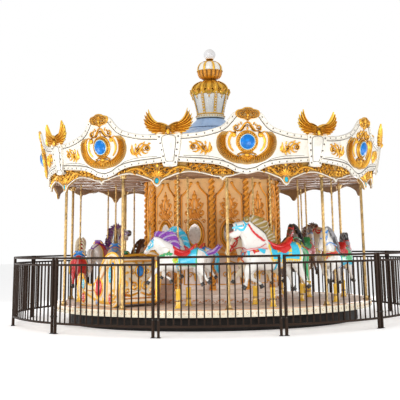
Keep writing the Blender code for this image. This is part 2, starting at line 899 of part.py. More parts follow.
def posed(x, z, bearing):
    """A station moved into a bearing, and the turn of its section."""
    reach, neck_growth, neck_turn, head_growth, head_turn, longer = BEARINGS[bearing]
    past_root = (x - NECK_ROOT[0]) * 0.42 + (z - NECK_ROOT[1]) * 0.9
    on_neck = eased(past_root / 0.15) * eased((x - 0.04) / 0.10)
    past_poll = (x - POLL[0]) * 0.97 + (z - POLL[1]) * 0.23
    on_head = eased((past_poll + 0.04) / 0.08) * eased((z - 1.12) / 0.06)
    on_chest = eased((x - 0.08) / 0.17) * eased((z - 0.72) / 0.33)
    on_leg = eased((1.0 - z) / 0.22)
    place = turned_about((x, z), POLL, head_turn * on_head, 1 + (head_growth - 1) * on_head)
    place = turned_about(place, NECK_ROOT, neck_turn * on_neck, 1 + (neck_growth - 1) * on_neck)
    turn = head_turn * on_head + neck_turn * on_neck
    return place[0] + reach * on_chest, place[1] - longer * on_leg, turn


def horse_mesh(size, lift, bearing, tail):
    """Horse and pole as one piece, heading along local +X, standing lift above the middle of its travel."""

    def sized(x, z):
        # grows about the saddle, which stays on the pole
        x, z, _ = posed(x, z, bearing)
        return x * size, HORSE_MIDDLE + (z - HORSE_MIDDLE) * size + lift

    body = []
    for x, z, half_width, half_height, lean in BODY_SECTIONS:
        forward, height = sized(x, z)
        lean += posed(x, z, bearing)[2]
        body.append((Vector((forward, 0, height)), half_width * size, half_height * size, lean))
    pieces = [loft(body, BODY_SIDES)]
    for side, path in LEG_PATHS:
        pieces.append(limb([(*sized(x, z), r * size) for x, z, r in path], LEG_SIDES, side * size))
    for path in (TAILS[tail], MANE):
        pieces.append(limb([(*sized(x, z), r * size) for x, z, r in path], LEG_SIDES))
    saddle = []
    for x, z, half_width, half_height in SADDLE_SECTIONS:
        forward, height = sized(x, z)
        saddle.append((Vector((forward, 0, height)), half_width * size, half_height * size, 0))
    pieces.append(loft(saddle, BODY_SIDES))
    pieces.append(prism(POLE_RADIUS, POLE_SIDES, POLE_BOTTOM + lift, POLE_TOP + lift))
    return fused(pieces)


def build_horses():
    outer = ("outer", OUTER_CIRCLE, OUTER_PLACES)
    inner = ("inner", INNER_CIRCLE, INNER_PLACES)
    for row, circle, places in (outer, inner):
        for i, (angle, size, lift, bearing, tail) in enumerate(places):
            mesh = horse_mesh(size, lift, bearing, tail)
            add_object(
                f"horse_{row}_{i + 1:02d}",
                mesh,
                "horse_white",
                place_frame(circle, angle),
                smooth=60,
            )


def build_carriage():
    frame = place_frame(CARRIAGE_CIRCLE, CARRIAGE_ANGLE)
    half = CARRIAGE_HALF_WIDTH
    inside = half - CARRIAGE_SIDE / 2
    pieces = [
        extrude_outline(CARRIAGE_OUTLINE, half - CARRIAGE_SIDE, half),
        extrude_outline(CARRIAGE_OUTLINE, -half, -half + CARRIAGE_SIDE),
    ]
    for (back, low), (front, high) in (CARRIAGE_TRAY, SEAT_BOX, SEAT_BACK):
        pieces.append(box((back, -inside, low), (front, inside, high)))
    add_object("carriage", fused(pieces), "carriage_cream", frame, smooth=30)


def main():
    clear_scene()
    build_plinth()
    build_drum()
    build_platform()
    build_canopy_frame()
    build_ceiling()
    build_roof()
    build_crown()
    build_valance()
    build_boards()
    build_fence()
    build_horses()
    build_carriage()


main()
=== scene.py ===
"""Dresses a fairground carousel: rounding boards, valance, crown, drum, deck, fence,
horses and carriage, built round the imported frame.

Metres, +Z up, the turning axis is Z. An angle is in degrees round that axis, counted from
the side of -Y towards +X. Relief is drawn flat first, as (across, up, out), and then bent
on to the surface that carries it.
"""

import math

import bmesh
import bpy
import numpy as np
from bpy.props import FloatProperty, FloatVectorProperty, IntProperty, PointerProperty
from bpy.types import Node, NodeSocket, Operator, Panel, PropertyGroup
from mathutils import Matrix, Vector
from mathutils.bvhtree import BVHTree


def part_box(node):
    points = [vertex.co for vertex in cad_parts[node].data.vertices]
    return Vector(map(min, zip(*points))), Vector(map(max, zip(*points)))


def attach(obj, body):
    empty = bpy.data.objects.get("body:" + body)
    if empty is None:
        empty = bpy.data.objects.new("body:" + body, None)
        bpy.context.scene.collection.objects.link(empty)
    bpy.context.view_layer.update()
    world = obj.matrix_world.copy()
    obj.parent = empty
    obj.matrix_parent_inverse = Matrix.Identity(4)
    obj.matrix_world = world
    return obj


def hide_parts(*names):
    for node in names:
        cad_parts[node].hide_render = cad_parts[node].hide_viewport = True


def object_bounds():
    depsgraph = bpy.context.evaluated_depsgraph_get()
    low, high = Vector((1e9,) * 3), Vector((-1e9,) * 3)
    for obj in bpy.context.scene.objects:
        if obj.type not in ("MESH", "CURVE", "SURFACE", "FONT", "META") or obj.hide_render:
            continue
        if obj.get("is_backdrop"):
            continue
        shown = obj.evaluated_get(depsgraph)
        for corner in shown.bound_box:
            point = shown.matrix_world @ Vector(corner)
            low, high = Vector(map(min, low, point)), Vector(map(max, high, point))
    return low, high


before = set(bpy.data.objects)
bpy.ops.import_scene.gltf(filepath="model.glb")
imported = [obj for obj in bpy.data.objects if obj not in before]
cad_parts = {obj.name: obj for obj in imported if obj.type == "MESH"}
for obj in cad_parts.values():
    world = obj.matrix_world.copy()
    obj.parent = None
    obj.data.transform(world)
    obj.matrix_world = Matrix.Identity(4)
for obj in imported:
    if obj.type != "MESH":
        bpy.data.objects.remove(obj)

bl_info = {
    "name": "Fairground carousel dressing",
    "version": (1, 0, 0),
    "blender": (4, 5, 0),
    "location": "View3D > Sidebar > Carousel",
    "description": "Builds the painted and gilded pieces of a carousel round its frame",
    "category": "Object",
}

CAD_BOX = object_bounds()

# Rings of repeated pieces: how many, and the angle of the first
BAYS, FIRST_POST = 10, 5.0
BOARDS, FIRST_BOARD, FIRST_CORNER = 8, 10.5, -12.0
VALANCE_REPEATS, FIRST_PENDANT = 9, -16.6
FENCE_PANELS, FIRST_FENCE = 12, 1.54
DRUM_SIDES, FIRST_DRUM_PANEL, FIRST_COLUMN = 12, 15.0, 0.0

# Circles and heights that the pieces share with the frame
POST_CIRCLE = 2.79
DECK_INNER, DECK_OUTER, DECK_TOP = 1.30, 2.84, 0.33
SLEEVE_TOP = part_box("platform")[1].z
CEILING_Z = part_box("ceiling")[0].z
ROOF_EDGE, ROOF_EDGE_Z, ROOF_NECK, ROOF_NECK_Z = 3.0898, 2.88, 0.20, 3.52
VALANCE_FACE = 2.993
FENCE_CIRCLE, FENCE_HEIGHT = 3.60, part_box("fence_panel_01")[1].z
DRUM_CORNER = 1.21
DRUM_FACE = DRUM_CORNER * math.cos(math.radians(15))
DRUM_FOOT = 1.285
CONE_RADIUS, CONE_Z, CONE_LEAN = 3.03, 2.374, math.atan(0.195)
OUTER_CIRCLE, INNER_CIRCLE = 2.45, 1.80
CARRIAGE_CIRCLE, CARRIAGE_ANGLE = 2.12, -49.0


def colour_property(name, description, default):
    return FloatVectorProperty(
        name=name,
        description=description,
        subtype="COLOR",
        size=3,
        min=0,
        max=1,
        default=default,
    )


def length_property(name, description, default):
    return FloatProperty(
        name=name,
        description=description,
        subtype="DISTANCE",
        unit="LENGTH",
        min=0,
        default=default,
    )


class CarouselColours(PropertyGroup):
    """Paints and lacquers of the ride"""

    ivory: colour_property("Ivory", "Paint of the rounding boards and the crown", (0.72, 0.68, 0.60))
    gold: colour_property("Gold", "Raised parts of the gilded relief", (0.80, 0.41, 0.030))
    # painted shade: the colour the gilding takes in its hollows and creases
    gold_hollow_shade: colour_property("Deep gold", "Hollows of the gilded relief", (0.13, 0.036, 0.002))
    bronze: colour_property("Bronze gold", "Relief and columns of the drum", (0.72, 0.28, 0.014))
    panel: colour_property("Drum panel", "Ground of the drum panels", (0.84, 0.48, 0.18))
    gem: colour_property("Gem", "Round stones of the boards", (0.002, 0.16, 0.54))
    pendant: colour_property("Pendant", "Stones of the valance", (0.01, 0.36, 0.50))
    roof: colour_property("Roof", "Roof skirt and crown neck", (0.36, 0.52, 0.78))
    deck: colour_property("Deck", "Paint of the turning deck", (0.78, 0.64, 0.54))
    band: colour_property("Deck band", "Cream band round the deck", (0.80, 0.72, 0.55))
    ceiling: colour_property("Ceiling", "Underside of the canopy", (0.27, 0.14, 0.065))
    fence: colour_property("Fence", "Paint of the ring fence", (0.022, 0.011, 0.006))
    brass: colour_property("Brass", "Poles, posts and rings", (0.50, 0.33, 0.13))
    sleeve: colour_property("Pole sleeve", "Enamel of the sleeves on the deck", (0.92, 0.55, 0.04))


class CarouselSizes(PropertyGroup):
    """Sizes that a user would change"""

    relief: length_property("Relief", "How far the gilded relief stands out", 0.022)
    rivet: length_property("Rivet", "Radius of the rivets on the boards", 0.0130)
    lamp: length_property("Lamp", "Radius of the lamps on the deck band", 0.013)
    post: length_property("Post", "Radius of the ten brass posts", 0.026)
    pole: length_property("Pole", "Radius of the horse poles", 0.0175)
    bar: length_property("Fence bar", "Thickness of the fence bars", 0.020)
    skin: length_property("Horse voxel", "Grain at which the carved horses are fused", 0.0125)
    lamps: IntProperty(name="Lamps", description="Lamps round the deck band", min=0, default=120)
    gores: IntProperty(name="Roof gores", description="Panels of the roof skirt", min=3, default=24)


def sizes():
    return bpy.context.scene.carousel_sizes


def colours():
    return bpy.context.scene.carousel_colours


# Nodes


def wire(tree, kind, links=None, **settings):
    """Adds a node. A value in links is another node, a socket or a plain value."""
    node = tree.nodes.new(kind)
    for key, value in settings.items():
        setattr(node, key, value)
    for key, value in (links or {}).items():
        socket = node.inputs[key]
        if isinstance(value, Node):
            value = value.outputs[0]
        if isinstance(value, NodeSocket):
            tree.links.new(value, socket)
        else:
            socket.default_value = value
    return node


def math_node(tree, operation, first, second=0.0):
    return wire(tree, "ShaderNodeMath", {0: first, 1: second}, operation=operation)


def ramp(tree, factor, stops):
    node = wire(tree, "ShaderNodeValToRGB", {"Fac": factor})
    row = node.color_ramp.elements
    row[0].position, row[0].color = stops[0][0], (*stops[0][1], 1)
    row[1].position, row[1].color = stops[-1][0], (*stops[-1][1], 1)
    for place, colour in stops[1:-1]:
        row.new(place).color = (*colour, 1)
    return node


def shade(colour, share):
    """The same colour, darker under 1 and lighter over 1."""
    return tuple(min(1.0, max(0.0, value * share)) for value in colour)


def new_material(name):
    material = bpy.data.materials.new(name)
    material.use_nodes = True
    tree = material.node_tree
    place = wire(tree, "ShaderNodeTexCoord").outputs["Object"]
    return material, tree, tree.nodes["Principled BSDF"], place


def noise(tree, place, scale, detail=3.0, stretch=None):
    if stretch is not None:
        place = wire(tree, "ShaderNodeMapping", {"Vector": place, "Scale": stretch})
    return wire(tree, "ShaderNodeTexNoise", {"Vector": place, "Scale": scale, "Detail": detail})


def add_bump(tree, shader, height, distance, strength=0.5, under=None):
    links = {"Height": height, "Distance": distance, "Strength": strength}
    if under is not None:
        links["Normal"] = under
    bump = wire(tree, "ShaderNodeBump", links)
    tree.links.new(bump.outputs["Normal"], shader.inputs["Normal"])
    return bump


def spread(tree, factor, low, high):
    """Range of a roughness or strength that follows a noise."""
    return wire(tree, "ShaderNodeMapRange", {"Value": factor, "To Min": low, "To Max": high})


def feed(tree, source, shader, name):
    """Joins the first output of a node to an input of the shader."""
    tree.links.new(source.outputs[0], shader.inputs[name])


def darken(tree, shader, share, tone, mask):
    """Base colour: the tone, multiplied by a share of the mask."""
    inputs = {"Factor": share, 6: tone.outputs[0], 7: mask.outputs[0]}
    mixed = wire(tree, "ShaderNodeMix", inputs, data_type="RGBA", blend_type="MULTIPLY")
    tree.links.new(mixed.outputs[2], shader.inputs["Base Color"])


def made_once(build):
    """Makes a material at its first use and finds it by name after that."""

    def found_or_built(name, *values, **named):
        return bpy.data.materials.get(name) or build(name, *values, **named)

    return found_or_built


@made_once
def paint(name, colour, gloss=0.28, coat=0.4, streak=(1, 1, 1), depth=0.0004, shine=0.5):
    """Brushed gloss paint: cloudy tone, a little dirt, faint brush marks."""
    material, tree, shader, place = new_material(name)
    cloud = noise(tree, place, 3.5, 5.0)
    brush = noise(tree, place, 60.0, 4.0, streak)
    tone = ramp(
        tree,
        cloud,
        ((0.25, shade(colour, 0.80)), (0.5, colour), (0.75, shade(colour, 1.08))),
    )
    dirt = ramp(tree, noise(tree, place, 17.0, 8.0), ((0.30, shade(colour, 0.72)), (0.42, (1, 1, 1))))
    darken(tree, shader, 0.35, tone, dirt)
    feed(tree, spread(tree, brush, gloss * 0.75, gloss * 1.45), shader, "Roughness")
    shader.inputs["Coat Weight"].default_value = coat
    shader.inputs["Specular IOR Level"].default_value = shine
    shader.inputs["Coat Roughness"].default_value = 0.12
    add_bump(tree, shader, brush, depth)
    return material


@made_once
def gilding(name, light, deep, metal=0.65, gloss=0.36):
    """Gold lacquer: painted highlights on raised edges, painted shade in the hollows and between the parts
    of the relief, patchy where it has worn.
    """
    material, tree, shader, place = new_material(name)
    # painted light: pointiness lightens convex edges as a painted highlight and darkens creases as painted
    # shade
    edge = wire(tree, "ShaderNodeNewGeometry").outputs["Pointiness"]
    wear = noise(tree, place, 22.0, 6.0)
    level = math_node(tree, "MULTIPLY_ADD", wear, 0.10)
    level.inputs[2].default_value = -0.05
    level = math_node(tree, "ADD", edge, level)
    # deep and rich are painted shade for the creases, bright is a painted highlight for the edges
    rich, bright = shade(light, 0.58), tuple(min(1.0, value * 1.25 + 0.04) for value in light)
    tone = ramp(tree, level, ((0.43, deep), (0.488, rich), (0.525, light), (0.61, bright)))
    # ambient occlusion paints shade into the hollows and between the parts of the relief
    hollow = wire(tree, "ShaderNodeAmbientOcclusion", {"Distance": 0.045}, samples=4)
    hollow_shade = ramp(tree, hollow.outputs["AO"], ((0.38, shade(deep, 1.2)), (0.92, (1, 1, 1))))
    darken(tree, shader, 0.92, tone, hollow_shade)
    shader.inputs["Metallic"].default_value = metal
    feed(tree, spread(tree, wear, gloss * 0.7, gloss * 1.4), shader, "Roughness")
    add_bump(tree, shader, noise(tree, place, 140.0, 4.0), 0.0006)
    return material


@made_once
def metal(name, colour, gloss=0.25, scratch=(1, 1, 0.05)):
    """Drawn metal tube with fine lines along it and dull patches."""
    material, tree, shader, place = new_material(name)
    lines = noise(tree, place, 300.0, 3.0, scratch)
    patch = noise(tree, place, 9.0, 5.0)
    tone = ramp(tree, patch, ((0.3, shade(colour, 0.62)), (0.55, colour), (0.8, shade(colour, 1.2))))
    feed(tree, tone, shader, "Base Color")
    shader.inputs["Metallic"].default_value = 0.9
    feed(tree, spread(tree, patch, gloss * 0.8, gloss * 1.7), shader, "Roughness")
    add_bump(tree, shader, lines, 0.0002)
    return material


@made_once
def stone(name, colour):
    """Clear coloured stone with a cloudy heart."""
    material, tree, shader, place = new_material(name)
    heart = noise(tree, place, 14.0, 3.0)
    tone = ramp(tree, heart, ((0.3, shade(colour, 0.7)), (0.6, colour), (0.8, shade(colour, 1.35))))
    feed(tree, tone, shader, "Base Color")
    shader.inputs["Roughness"].default_value = 0.22
    shader.inputs["Specular IOR Level"].default_value = 0.3
    add_bump(tree, shader, heart, 0.0008, 0.3)
    return material


def finishes():
    """Every finish of the fixed pieces by its name."""
    paints = colours()
    return {
        "ivory": paint("ivory_paint", paints.ivory),
        "gold": gilding("gold_leaf", paints.gold, paints.gold_hollow_shade),
        # a lighter copy of the gold: painted highlight on broad smooth forms, ribs and feathers
        "leaf": gilding("bright_gold", shade(paints.gold, 1.15), shade(paints.gold, 0.50), 0.45, 0.3),
        # dark gold for the plates behind the relief and the valance wall: painted shade in the gaps between
        # the strokes
        "shade_gold": gilding("gold_ground", shade(paints.gold, 0.36), shade(paints.gold_hollow_shade, 0.7), 0.0, 0.6),
        "bronze": gilding("bronze_gold", paints.bronze, shade(paints.bronze, 0.22), 0.2, 0.4),
        "rope": gilding("rope_gold", shade(paints.bronze, 1.1), shade(paints.bronze, 0.12), 0.2, 0.35),
        "panel": paint("drum_panel_paint", paints.panel, 0.4, 0.1, (1, 1, 0.1)),
        "gem": stone("board_gem", paints.gem),
        "pendant": stone("pendant_gem", paints.pendant),
        "roof": paint("roof_paint", paints.roof, 0.35, 0.3),
        # painted light: a lighter copy of the ivory, since the crown gets less light than the boards
        "crown": paint("crown_paint", shade(paints.ivory, 1.28)),
        "line": paint("pin_line_paint", (0.05, 0.042, 0.036), 0.5, 0.0, shine=0.2),
        "rivet": metal("rivet_steel", (0.16, 0.14, 0.12), 0.35, (1, 1, 1)),
        "band": paint("band_paint", paints.band),
        "orange": paint("band_line_paint", (0.62, 0.25, 0.05)),
        "ceiling": paint("ceiling_paint", paints.ceiling, 0.5, 0.0, (1, 1, 1), 0.001),
        "brass": metal("polished_brass", paints.brass),
        "sleeve": paint("sleeve_enamel", paints.sleeve, 0.2, 0.6),
        # near-black: painted shade on the plinth under the deck; on the mast and the fence fittings it is
        # their dark paint
        "dark": paint("plinth_paint", (0.010, 0.008, 0.007), 0.6, 0.0, shine=0.15),
        "black_band": paint("black_line_paint", (0.02, 0.02, 0.022), 0.3),
    }


# Meshes


def smooth_rows(rows, steps):
    """Rows of numbers read from a smooth curve through the given ones."""
    rows = np.array(rows, float)
    if steps < 2:
        return rows
    ends = np.vstack([2 * rows[0] - rows[1], rows, 2 * rows[-1] - rows[-2]])
    found = []
    for before, here, there, after in zip(ends, ends[1:], ends[2:], ends[3:]):
        for t in np.arange(steps) / steps:
            found.append(
                here
                + (there - before) * t / 2
                + (2 * before - 5 * here + 4 * there - after) * t**2 / 2
                + (3 * here - before - 3 * there + after) * t**3 / 2
            )
    found.append(rows[-1])
    return np.array(found)


def ring_faces(rows, columns, around=True, caps=True):
    """Faces of a grid of points, rows by columns, closed round each row."""
    faces = []
    for i in range(rows - 1):
        for j in range(columns if around else columns - 1):
            k = (j + 1) % columns
            a, b = i * columns, (i + 1) * columns
            faces.append((a + j, a + k, b + k, b + j))
    if caps:
        faces.append(tuple(range(columns - 1, -1, -1)))
        faces.append(tuple(range((rows - 1) * columns, rows * columns)))
    return faces


def tube(rows, sides, across=(0, 1, 0)):
    """Round body along a path. A row is x, y, z, half size along `across`, half size square to it."""
    rows = np.asarray(rows, float)
    way = np.gradient(rows[:, :3], axis=0)
    way /= np.linalg.norm(way, axis=1)[:, None]
    across = np.array(across, float)
    side = across - way * (way @ across)[:, None]
    side /= np.linalg.norm(side, axis=1)[:, None]
    up = np.cross(way, side)
    turn = np.linspace(0, 2 * np.pi, sides, endpoint=False)
    ring = side[:, None] * (np.cos(turn)[:, None] * rows[:, 3, None, None])
    ring = ring + up[:, None] * (np.sin(turn)[:, None] * rows[:, 4, None, None])
    return (rows[:, None, :3] + ring).reshape(-1, 3), ring_faces(len(rows), sides)


def turned_form(profile, steps, centre=(0, 0, 0)):
    """Turned body from (radius, height) pairs. It is capped where it doesn't start or end on the axis."""
    turn = np.linspace(0, 2 * np.pi, steps, endpoint=False)
    rows = []
    for radius, z in profile:
        radius = max(radius, 1e-4)
        rows.append(np.stack([radius * np.sin(turn), -radius * np.cos(turn), turn * 0 + z], 1))
    return np.concatenate(rows) + np.array(centre, float), ring_faces(len(rows), steps)


def turned_wall(profile, steps):
    """Ring turned from a closed (radius, height) outline."""
    points, _ = turned_form(list(profile) + [profile[0]], steps)
    points = points[: len(profile) * steps]
    faces = []
    for i in range(len(profile)):
        a, b = i * steps, (i + 1) % len(profile) * steps
        for j in range(steps):
            k = (j + 1) % steps
            faces.append((a + j, a + k, b + k, b + j))
    return points, faces


def slab(outline, low, high, soft=0.0):
    """Plate with this (across, up) outline from out = low to high, its front edge softened."""
    outline = np.array(outline, float)
    middle = outline.mean(0)
    inner = middle + (outline - middle) * (1 - soft / np.abs(outline - middle).max())
    levels = [(outline, low), (outline, high)]
    if soft:
        levels = [(outline, low), (outline, high - soft * 0.6), (inner, high)]
    points = np.concatenate([np.c_[flat, np.full(len(flat), out)] for flat, out in levels])
    return points, ring_faces(len(levels), len(outline))


def stroke(path, widths, height, steps=2, sides=5, out=0.0):
    """Raised line through (across, up) points that tapers with its half widths."""
    widths = np.interp(np.linspace(0, 1, len(path)), np.linspace(0, 1, len(widths)), widths)
    rows = smooth_rows([(u, v, out, height * (w / max(widths)) ** 0.5, w)
                        for (u, v), w in zip(path, widths)], steps)
    rows[:, 3:] = np.maximum(rows[:, 3:], 0.0006)
    return tube(rows, sides, (0, 0, 1))


def spiral(centre, radius, start, turns, thick, height, out=0.0):
    """Volute that winds in from its start angle, with a bead at its eye."""
    count = max(7, int(abs(turns) * 8))
    share = np.linspace(0, 1, count)
    turn = np.radians(start) + share * turns * 2 * math.pi
    reach = radius * (1 - 0.80 * share)
    path = np.stack([centre[0] + reach * np.cos(turn), centre[1] + reach * np.sin(turn)], 1)
    return stroke(path, (thick, thick * 0.85, thick * 0.6), height, 1, 5, out)


def dome(centre, radius, height, sides=8, rings=3, stretch=1.0, out=0.0):
    """Low round boss on (across, up), stretched upwards if wanted."""
    turn = np.linspace(0, 2 * np.pi, sides, endpoint=False)
    rows = []
    for i in range(rings + 1):
        lift = math.pi / 2 * i / rings
        reach = max(radius * math.cos(lift), 0.0004)
        rows.append(
            np.stack(
                [
                    centre[0] + reach * np.cos(turn),
                    centre[1] + reach * stretch * np.sin(turn),
                    turn * 0 + out + height * math.sin(lift),
                ],
                1,
            )
        )
    return np.concatenate(rows), ring_faces(rings + 1, sides)


class Form:
    """Points and faces of one piece, each face with its finish."""

    def __init__(self):
        self.points, self.faces, self.slots, self.finishes = [], [], [], []
        self.count = 0

    def add(self, shape, finish="gold"):
        points, faces = shape
        if finish not in self.finishes:
            self.finishes.append(finish)
        slot = self.finishes.index(finish)
        self.points.append(np.asarray(points, float))
        self.faces += [tuple(i + self.count for i in face) for face in faces]
        self.slots += [slot] * len(faces)
        self.count += len(points)

    def both(self, shape, finish="gold"):
        """Adds the shape and its mirror image across the middle."""
        points, faces = shape
        self.add(shape, finish)
        self.add((np.asarray(points) * (-1, 1, 1), [face[::-1] for face in faces]), finish)

    def take(self, other, move):
        """Adds another form after moving its points."""
        points = move(np.concatenate(other.points))
        for slot, finish in enumerate(other.finishes):
            faces = [face for face, used in zip(other.faces, other.slots) if used == slot]
            if finish not in self.finishes:
                self.finishes.append(finish)
            self.faces += [tuple(i + self.count for i in face) for face in faces]
            self.slots += [self.finishes.index(finish)] * len(faces)
        self.points.append(points)
        self.count += len(points)

    def mesh(self, name, palette, smooth=50):
        mesh = bpy.data.meshes.new(name)
        mesh.from_pydata(np.concatenate(self.points).tolist(), [], self.faces)
        mesh.polygons.foreach_set("material_index", self.slots)
        for finish in self.finishes:
            mesh.materials.append(palette[finish])
        close_mesh(mesh, smooth)
        return mesh


def finish_shading(mesh, smooth):
    mesh.shade_smooth()
    mesh.set_sharp_from_angle(angle=math.radians(smooth))


def close_mesh(mesh, smooth):
    """Turns every face outwards and sets the shading."""
    bm = bmesh.new()
    bm.from_mesh(mesh)
    bmesh.ops.recalc_face_normals(bm, faces=bm.faces)
    bm.to_mesh(mesh)
    bm.free()
    finish_shading(mesh, smooth)


def add_piece(name, mesh, body, nodes=()):
    """Shows a finished mesh as a piece that rides on a body."""
    piece = bpy.data.objects.new(name, mesh)
    bpy.context.scene.collection.objects.link(piece)
    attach(piece, body)
    if nodes:
        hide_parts(*nodes)
    return piece


# Surfaces that relief is bent on to


def turn_about(points, angle):
    """Turns points about the axis."""
    turn = math.radians(angle)
    x, y, z = points.T
    return np.stack([x * math.cos(turn) - y * math.sin(turn), x * math.sin(turn) + y * math.cos(turn), z],
                    1)


def on_cone(points, angle=0.0):
    """Bends (across, up, out) on to the face of the rounding boards. Up starts at their lowest point."""
    across, up, out = np.asarray(points, float).T
    radius = CONE_RADIUS + up * math.sin(CONE_LEAN)
    turn = np.radians(angle) + across / radius
    reach = radius + out * math.cos(CONE_LEAN)
    z = CONE_Z + up * math.cos(CONE_LEAN) - out * math.sin(CONE_LEAN)
    return np.stack([reach * np.sin(turn), -reach * np.cos(turn), z], 1)


def on_drum(radius):
    """Bending on to an upright ring of this radius. Up is the height above the ground."""

    def bend(points, angle=0.0):
        across, up, out = np.asarray(points, float).T
        turn = np.radians(angle) + across / radius
        reach = radius + out
        return np.stack([reach * np.sin(turn), -reach * np.cos(turn), up], 1)

    return bend


def on_flat(distance, angle=0.0):
    """Stands (across, up, out) on a flat wall at this distance from the axis."""

    def stand(points):
        across, up, out = np.asarray(points, float).T
        return turn_about(np.stack([across, -(distance + out), up], 1), angle)

    return stand


# Node trees that repeat or grow a shape


def built_once(name):
    """Builds a tree of nodes at its first use and finds it by name after that."""

    def wrap(build):
        return lambda: bpy.data.node_groups.get(name) or build(name)

    return wrap


def new_tree(name, inputs):
    """Geometry tree with named inputs: (name, socket kind, default)."""
    tree = bpy.data.node_groups.new(name, "GeometryNodeTree")
    tree.is_modifier = True
    tree.interface.new_socket("Geometry", in_out="INPUT", socket_type="NodeSocketGeometry")
    for label, kind, default in inputs:
        socket = tree.interface.new_socket(label, in_out="INPUT", socket_type="NodeSocket" + kind)
        if default is not None:
            socket.default_value = default
    tree.interface.new_socket("Finish", in_out="INPUT", socket_type="NodeSocketMaterial")
    tree.interface.new_socket("Geometry", in_out="OUTPUT", socket_type="NodeSocketGeometry")
    return tree, wire(tree, "NodeGroupInput")


def end_tree(tree, given, geometry):
    """Ends a tree: copies made real, then the finish."""
    real = wire(tree, "GeometryNodeRealizeInstances", {"Geometry": geometry})
    named = wire(tree, "GeometryNodeSetMaterial", {"Geometry": real, "Material": given.outputs["Finish"]})
    wire(tree, "NodeGroupOutput", {"Geometry": named})
    return tree


def turned_copies(tree, geometry, copies, first, step):
    """Copies of a geometry turned about Z, the first at `first` and then one every `step`."""
    points = wire(tree, "GeometryNodePoints", {"Count": copies})
    index = wire(tree, "GeometryNodeInputIndex")
    turn = math_node(tree, "MULTIPLY_ADD", index, step)
    tree.links.new(first, turn.inputs[2])
    angles = wire(tree, "ShaderNodeCombineXYZ", {"Z": turn})
    rotation = wire(tree, "FunctionNodeEulerToRotation", {"Euler": angles})
    return wire(
        tree,
        "GeometryNodeInstanceOnPoints",
        {"Points": points, "Instance": geometry, "Rotation": rotation},
    )


@built_once("Copies round the axis")
def ring_tree(name):
    """Turns copies of the piece itself about the axis."""
    tree, given = new_tree(name, (("Copies", "Int", 8), ("First angle", "Float", 0.0),
                                  ("Step", "Float", 0.1)))
    made = turned_copies(
        tree,
        given.outputs["Geometry"],
        given.outputs["Copies"],
        given.outputs["First angle"],
        given.outputs["Step"],
    )
    return end_tree(tree, given, made)


@built_once("Beads on a ring")
def bead_tree(name):
    """Row of round beads on a level ring."""
    tree, given = new_tree(
        name,
        (
            ("Radius", "Float", 1.0),
            ("Height", "Float", 0.0),
            ("Bead", "Float", 0.01),
            ("Copies", "Int", 12),
            ("First angle", "Float", 0.0),
            ("Step", "Float", 0.1),
        ),
    )
    ball = wire(tree, "GeometryNodeMeshUVSphere", {"Segments": 8, "Rings": 5,
                                                   "Radius": given.outputs["Bead"]})
    back = math_node(tree, "MULTIPLY", given.outputs["Radius"], -1.0)
    place = wire(tree, "ShaderNodeCombineXYZ", {"Y": back, "Z": given.outputs["Height"]})
    seated = wire(tree, "GeometryNodeTransform", {"Geometry": ball, "Translation": place})
    made = turned_copies(
        tree,
        seated,
        given.outputs["Copies"],
        given.outputs["First angle"],
        given.outputs["Step"],
    )
    return end_tree(tree, given, made)


@built_once("Twisted rod")
def twist_tree(name):
    """Upright rod with lobes that wind round it like a rope."""
    tree, given = new_tree(
        name,
        (
            ("Radius", "Float", 0.03),
            ("Bottom", "Float", 0.0),
            ("Top", "Float", 1.0),
            ("Turns", "Float", 8.0),
            ("Lobes", "Int", 2),
            ("Depth", "Float", 0.15),
            ("Steps", "Int", 80),
            ("Sides", "Int", 10),
        ),
    )
    low = wire(tree, "ShaderNodeCombineXYZ", {"Z": given.outputs["Bottom"]})
    high = wire(tree, "ShaderNodeCombineXYZ", {"Z": given.outputs["Top"]})
    line = wire(tree, "GeometryNodeCurvePrimitiveLine", {"Start": low, "End": high})
    line = wire(tree, "GeometryNodeResampleCurve", {"Curve": line, "Count": given.outputs["Steps"]})
    along = wire(tree, "GeometryNodeSplineParameter")
    tilt = math_node(tree, "MULTIPLY", along, given.outputs["Turns"])
    tilt = math_node(tree, "MULTIPLY", tilt, 2 * math.pi)
    line = wire(tree, "GeometryNodeSetCurveTilt", {"Curve": line, "Tilt": tilt})
    round_profile = wire(
        tree,
        "GeometryNodeCurvePrimitiveCircle",
        {"Resolution": given.outputs["Sides"], "Radius": given.outputs["Radius"]},
    )
    place = wire(tree, "GeometryNodeInputPosition")
    split = wire(tree, "ShaderNodeSeparateXYZ", {"Vector": place})
    turn = math_node(tree, "ARCTAN2", split.outputs["Y"], split.outputs["X"])
    wave = math_node(tree, "COSINE", math_node(tree, "MULTIPLY", turn, given.outputs["Lobes"]))
    inset = math_node(tree, "MULTIPLY", math_node(tree, "SUBTRACT", 1.0, wave), given.outputs["Depth"])
    share = math_node(tree, "SUBTRACT", 1.0, inset)
    scaled = wire(tree, "ShaderNodeVectorMath", {0: place, "Scale": share}, operation="SCALE")
    lobed = wire(tree, "GeometryNodeSetPosition", {"Geometry": round_profile, "Position": scaled})
    body = wire(
        tree,
        "GeometryNodeCurveToMesh",
        {"Curve": line, "Profile Curve": lobed, "Fill Caps": True},
    )
    return end_tree(tree, given, body)


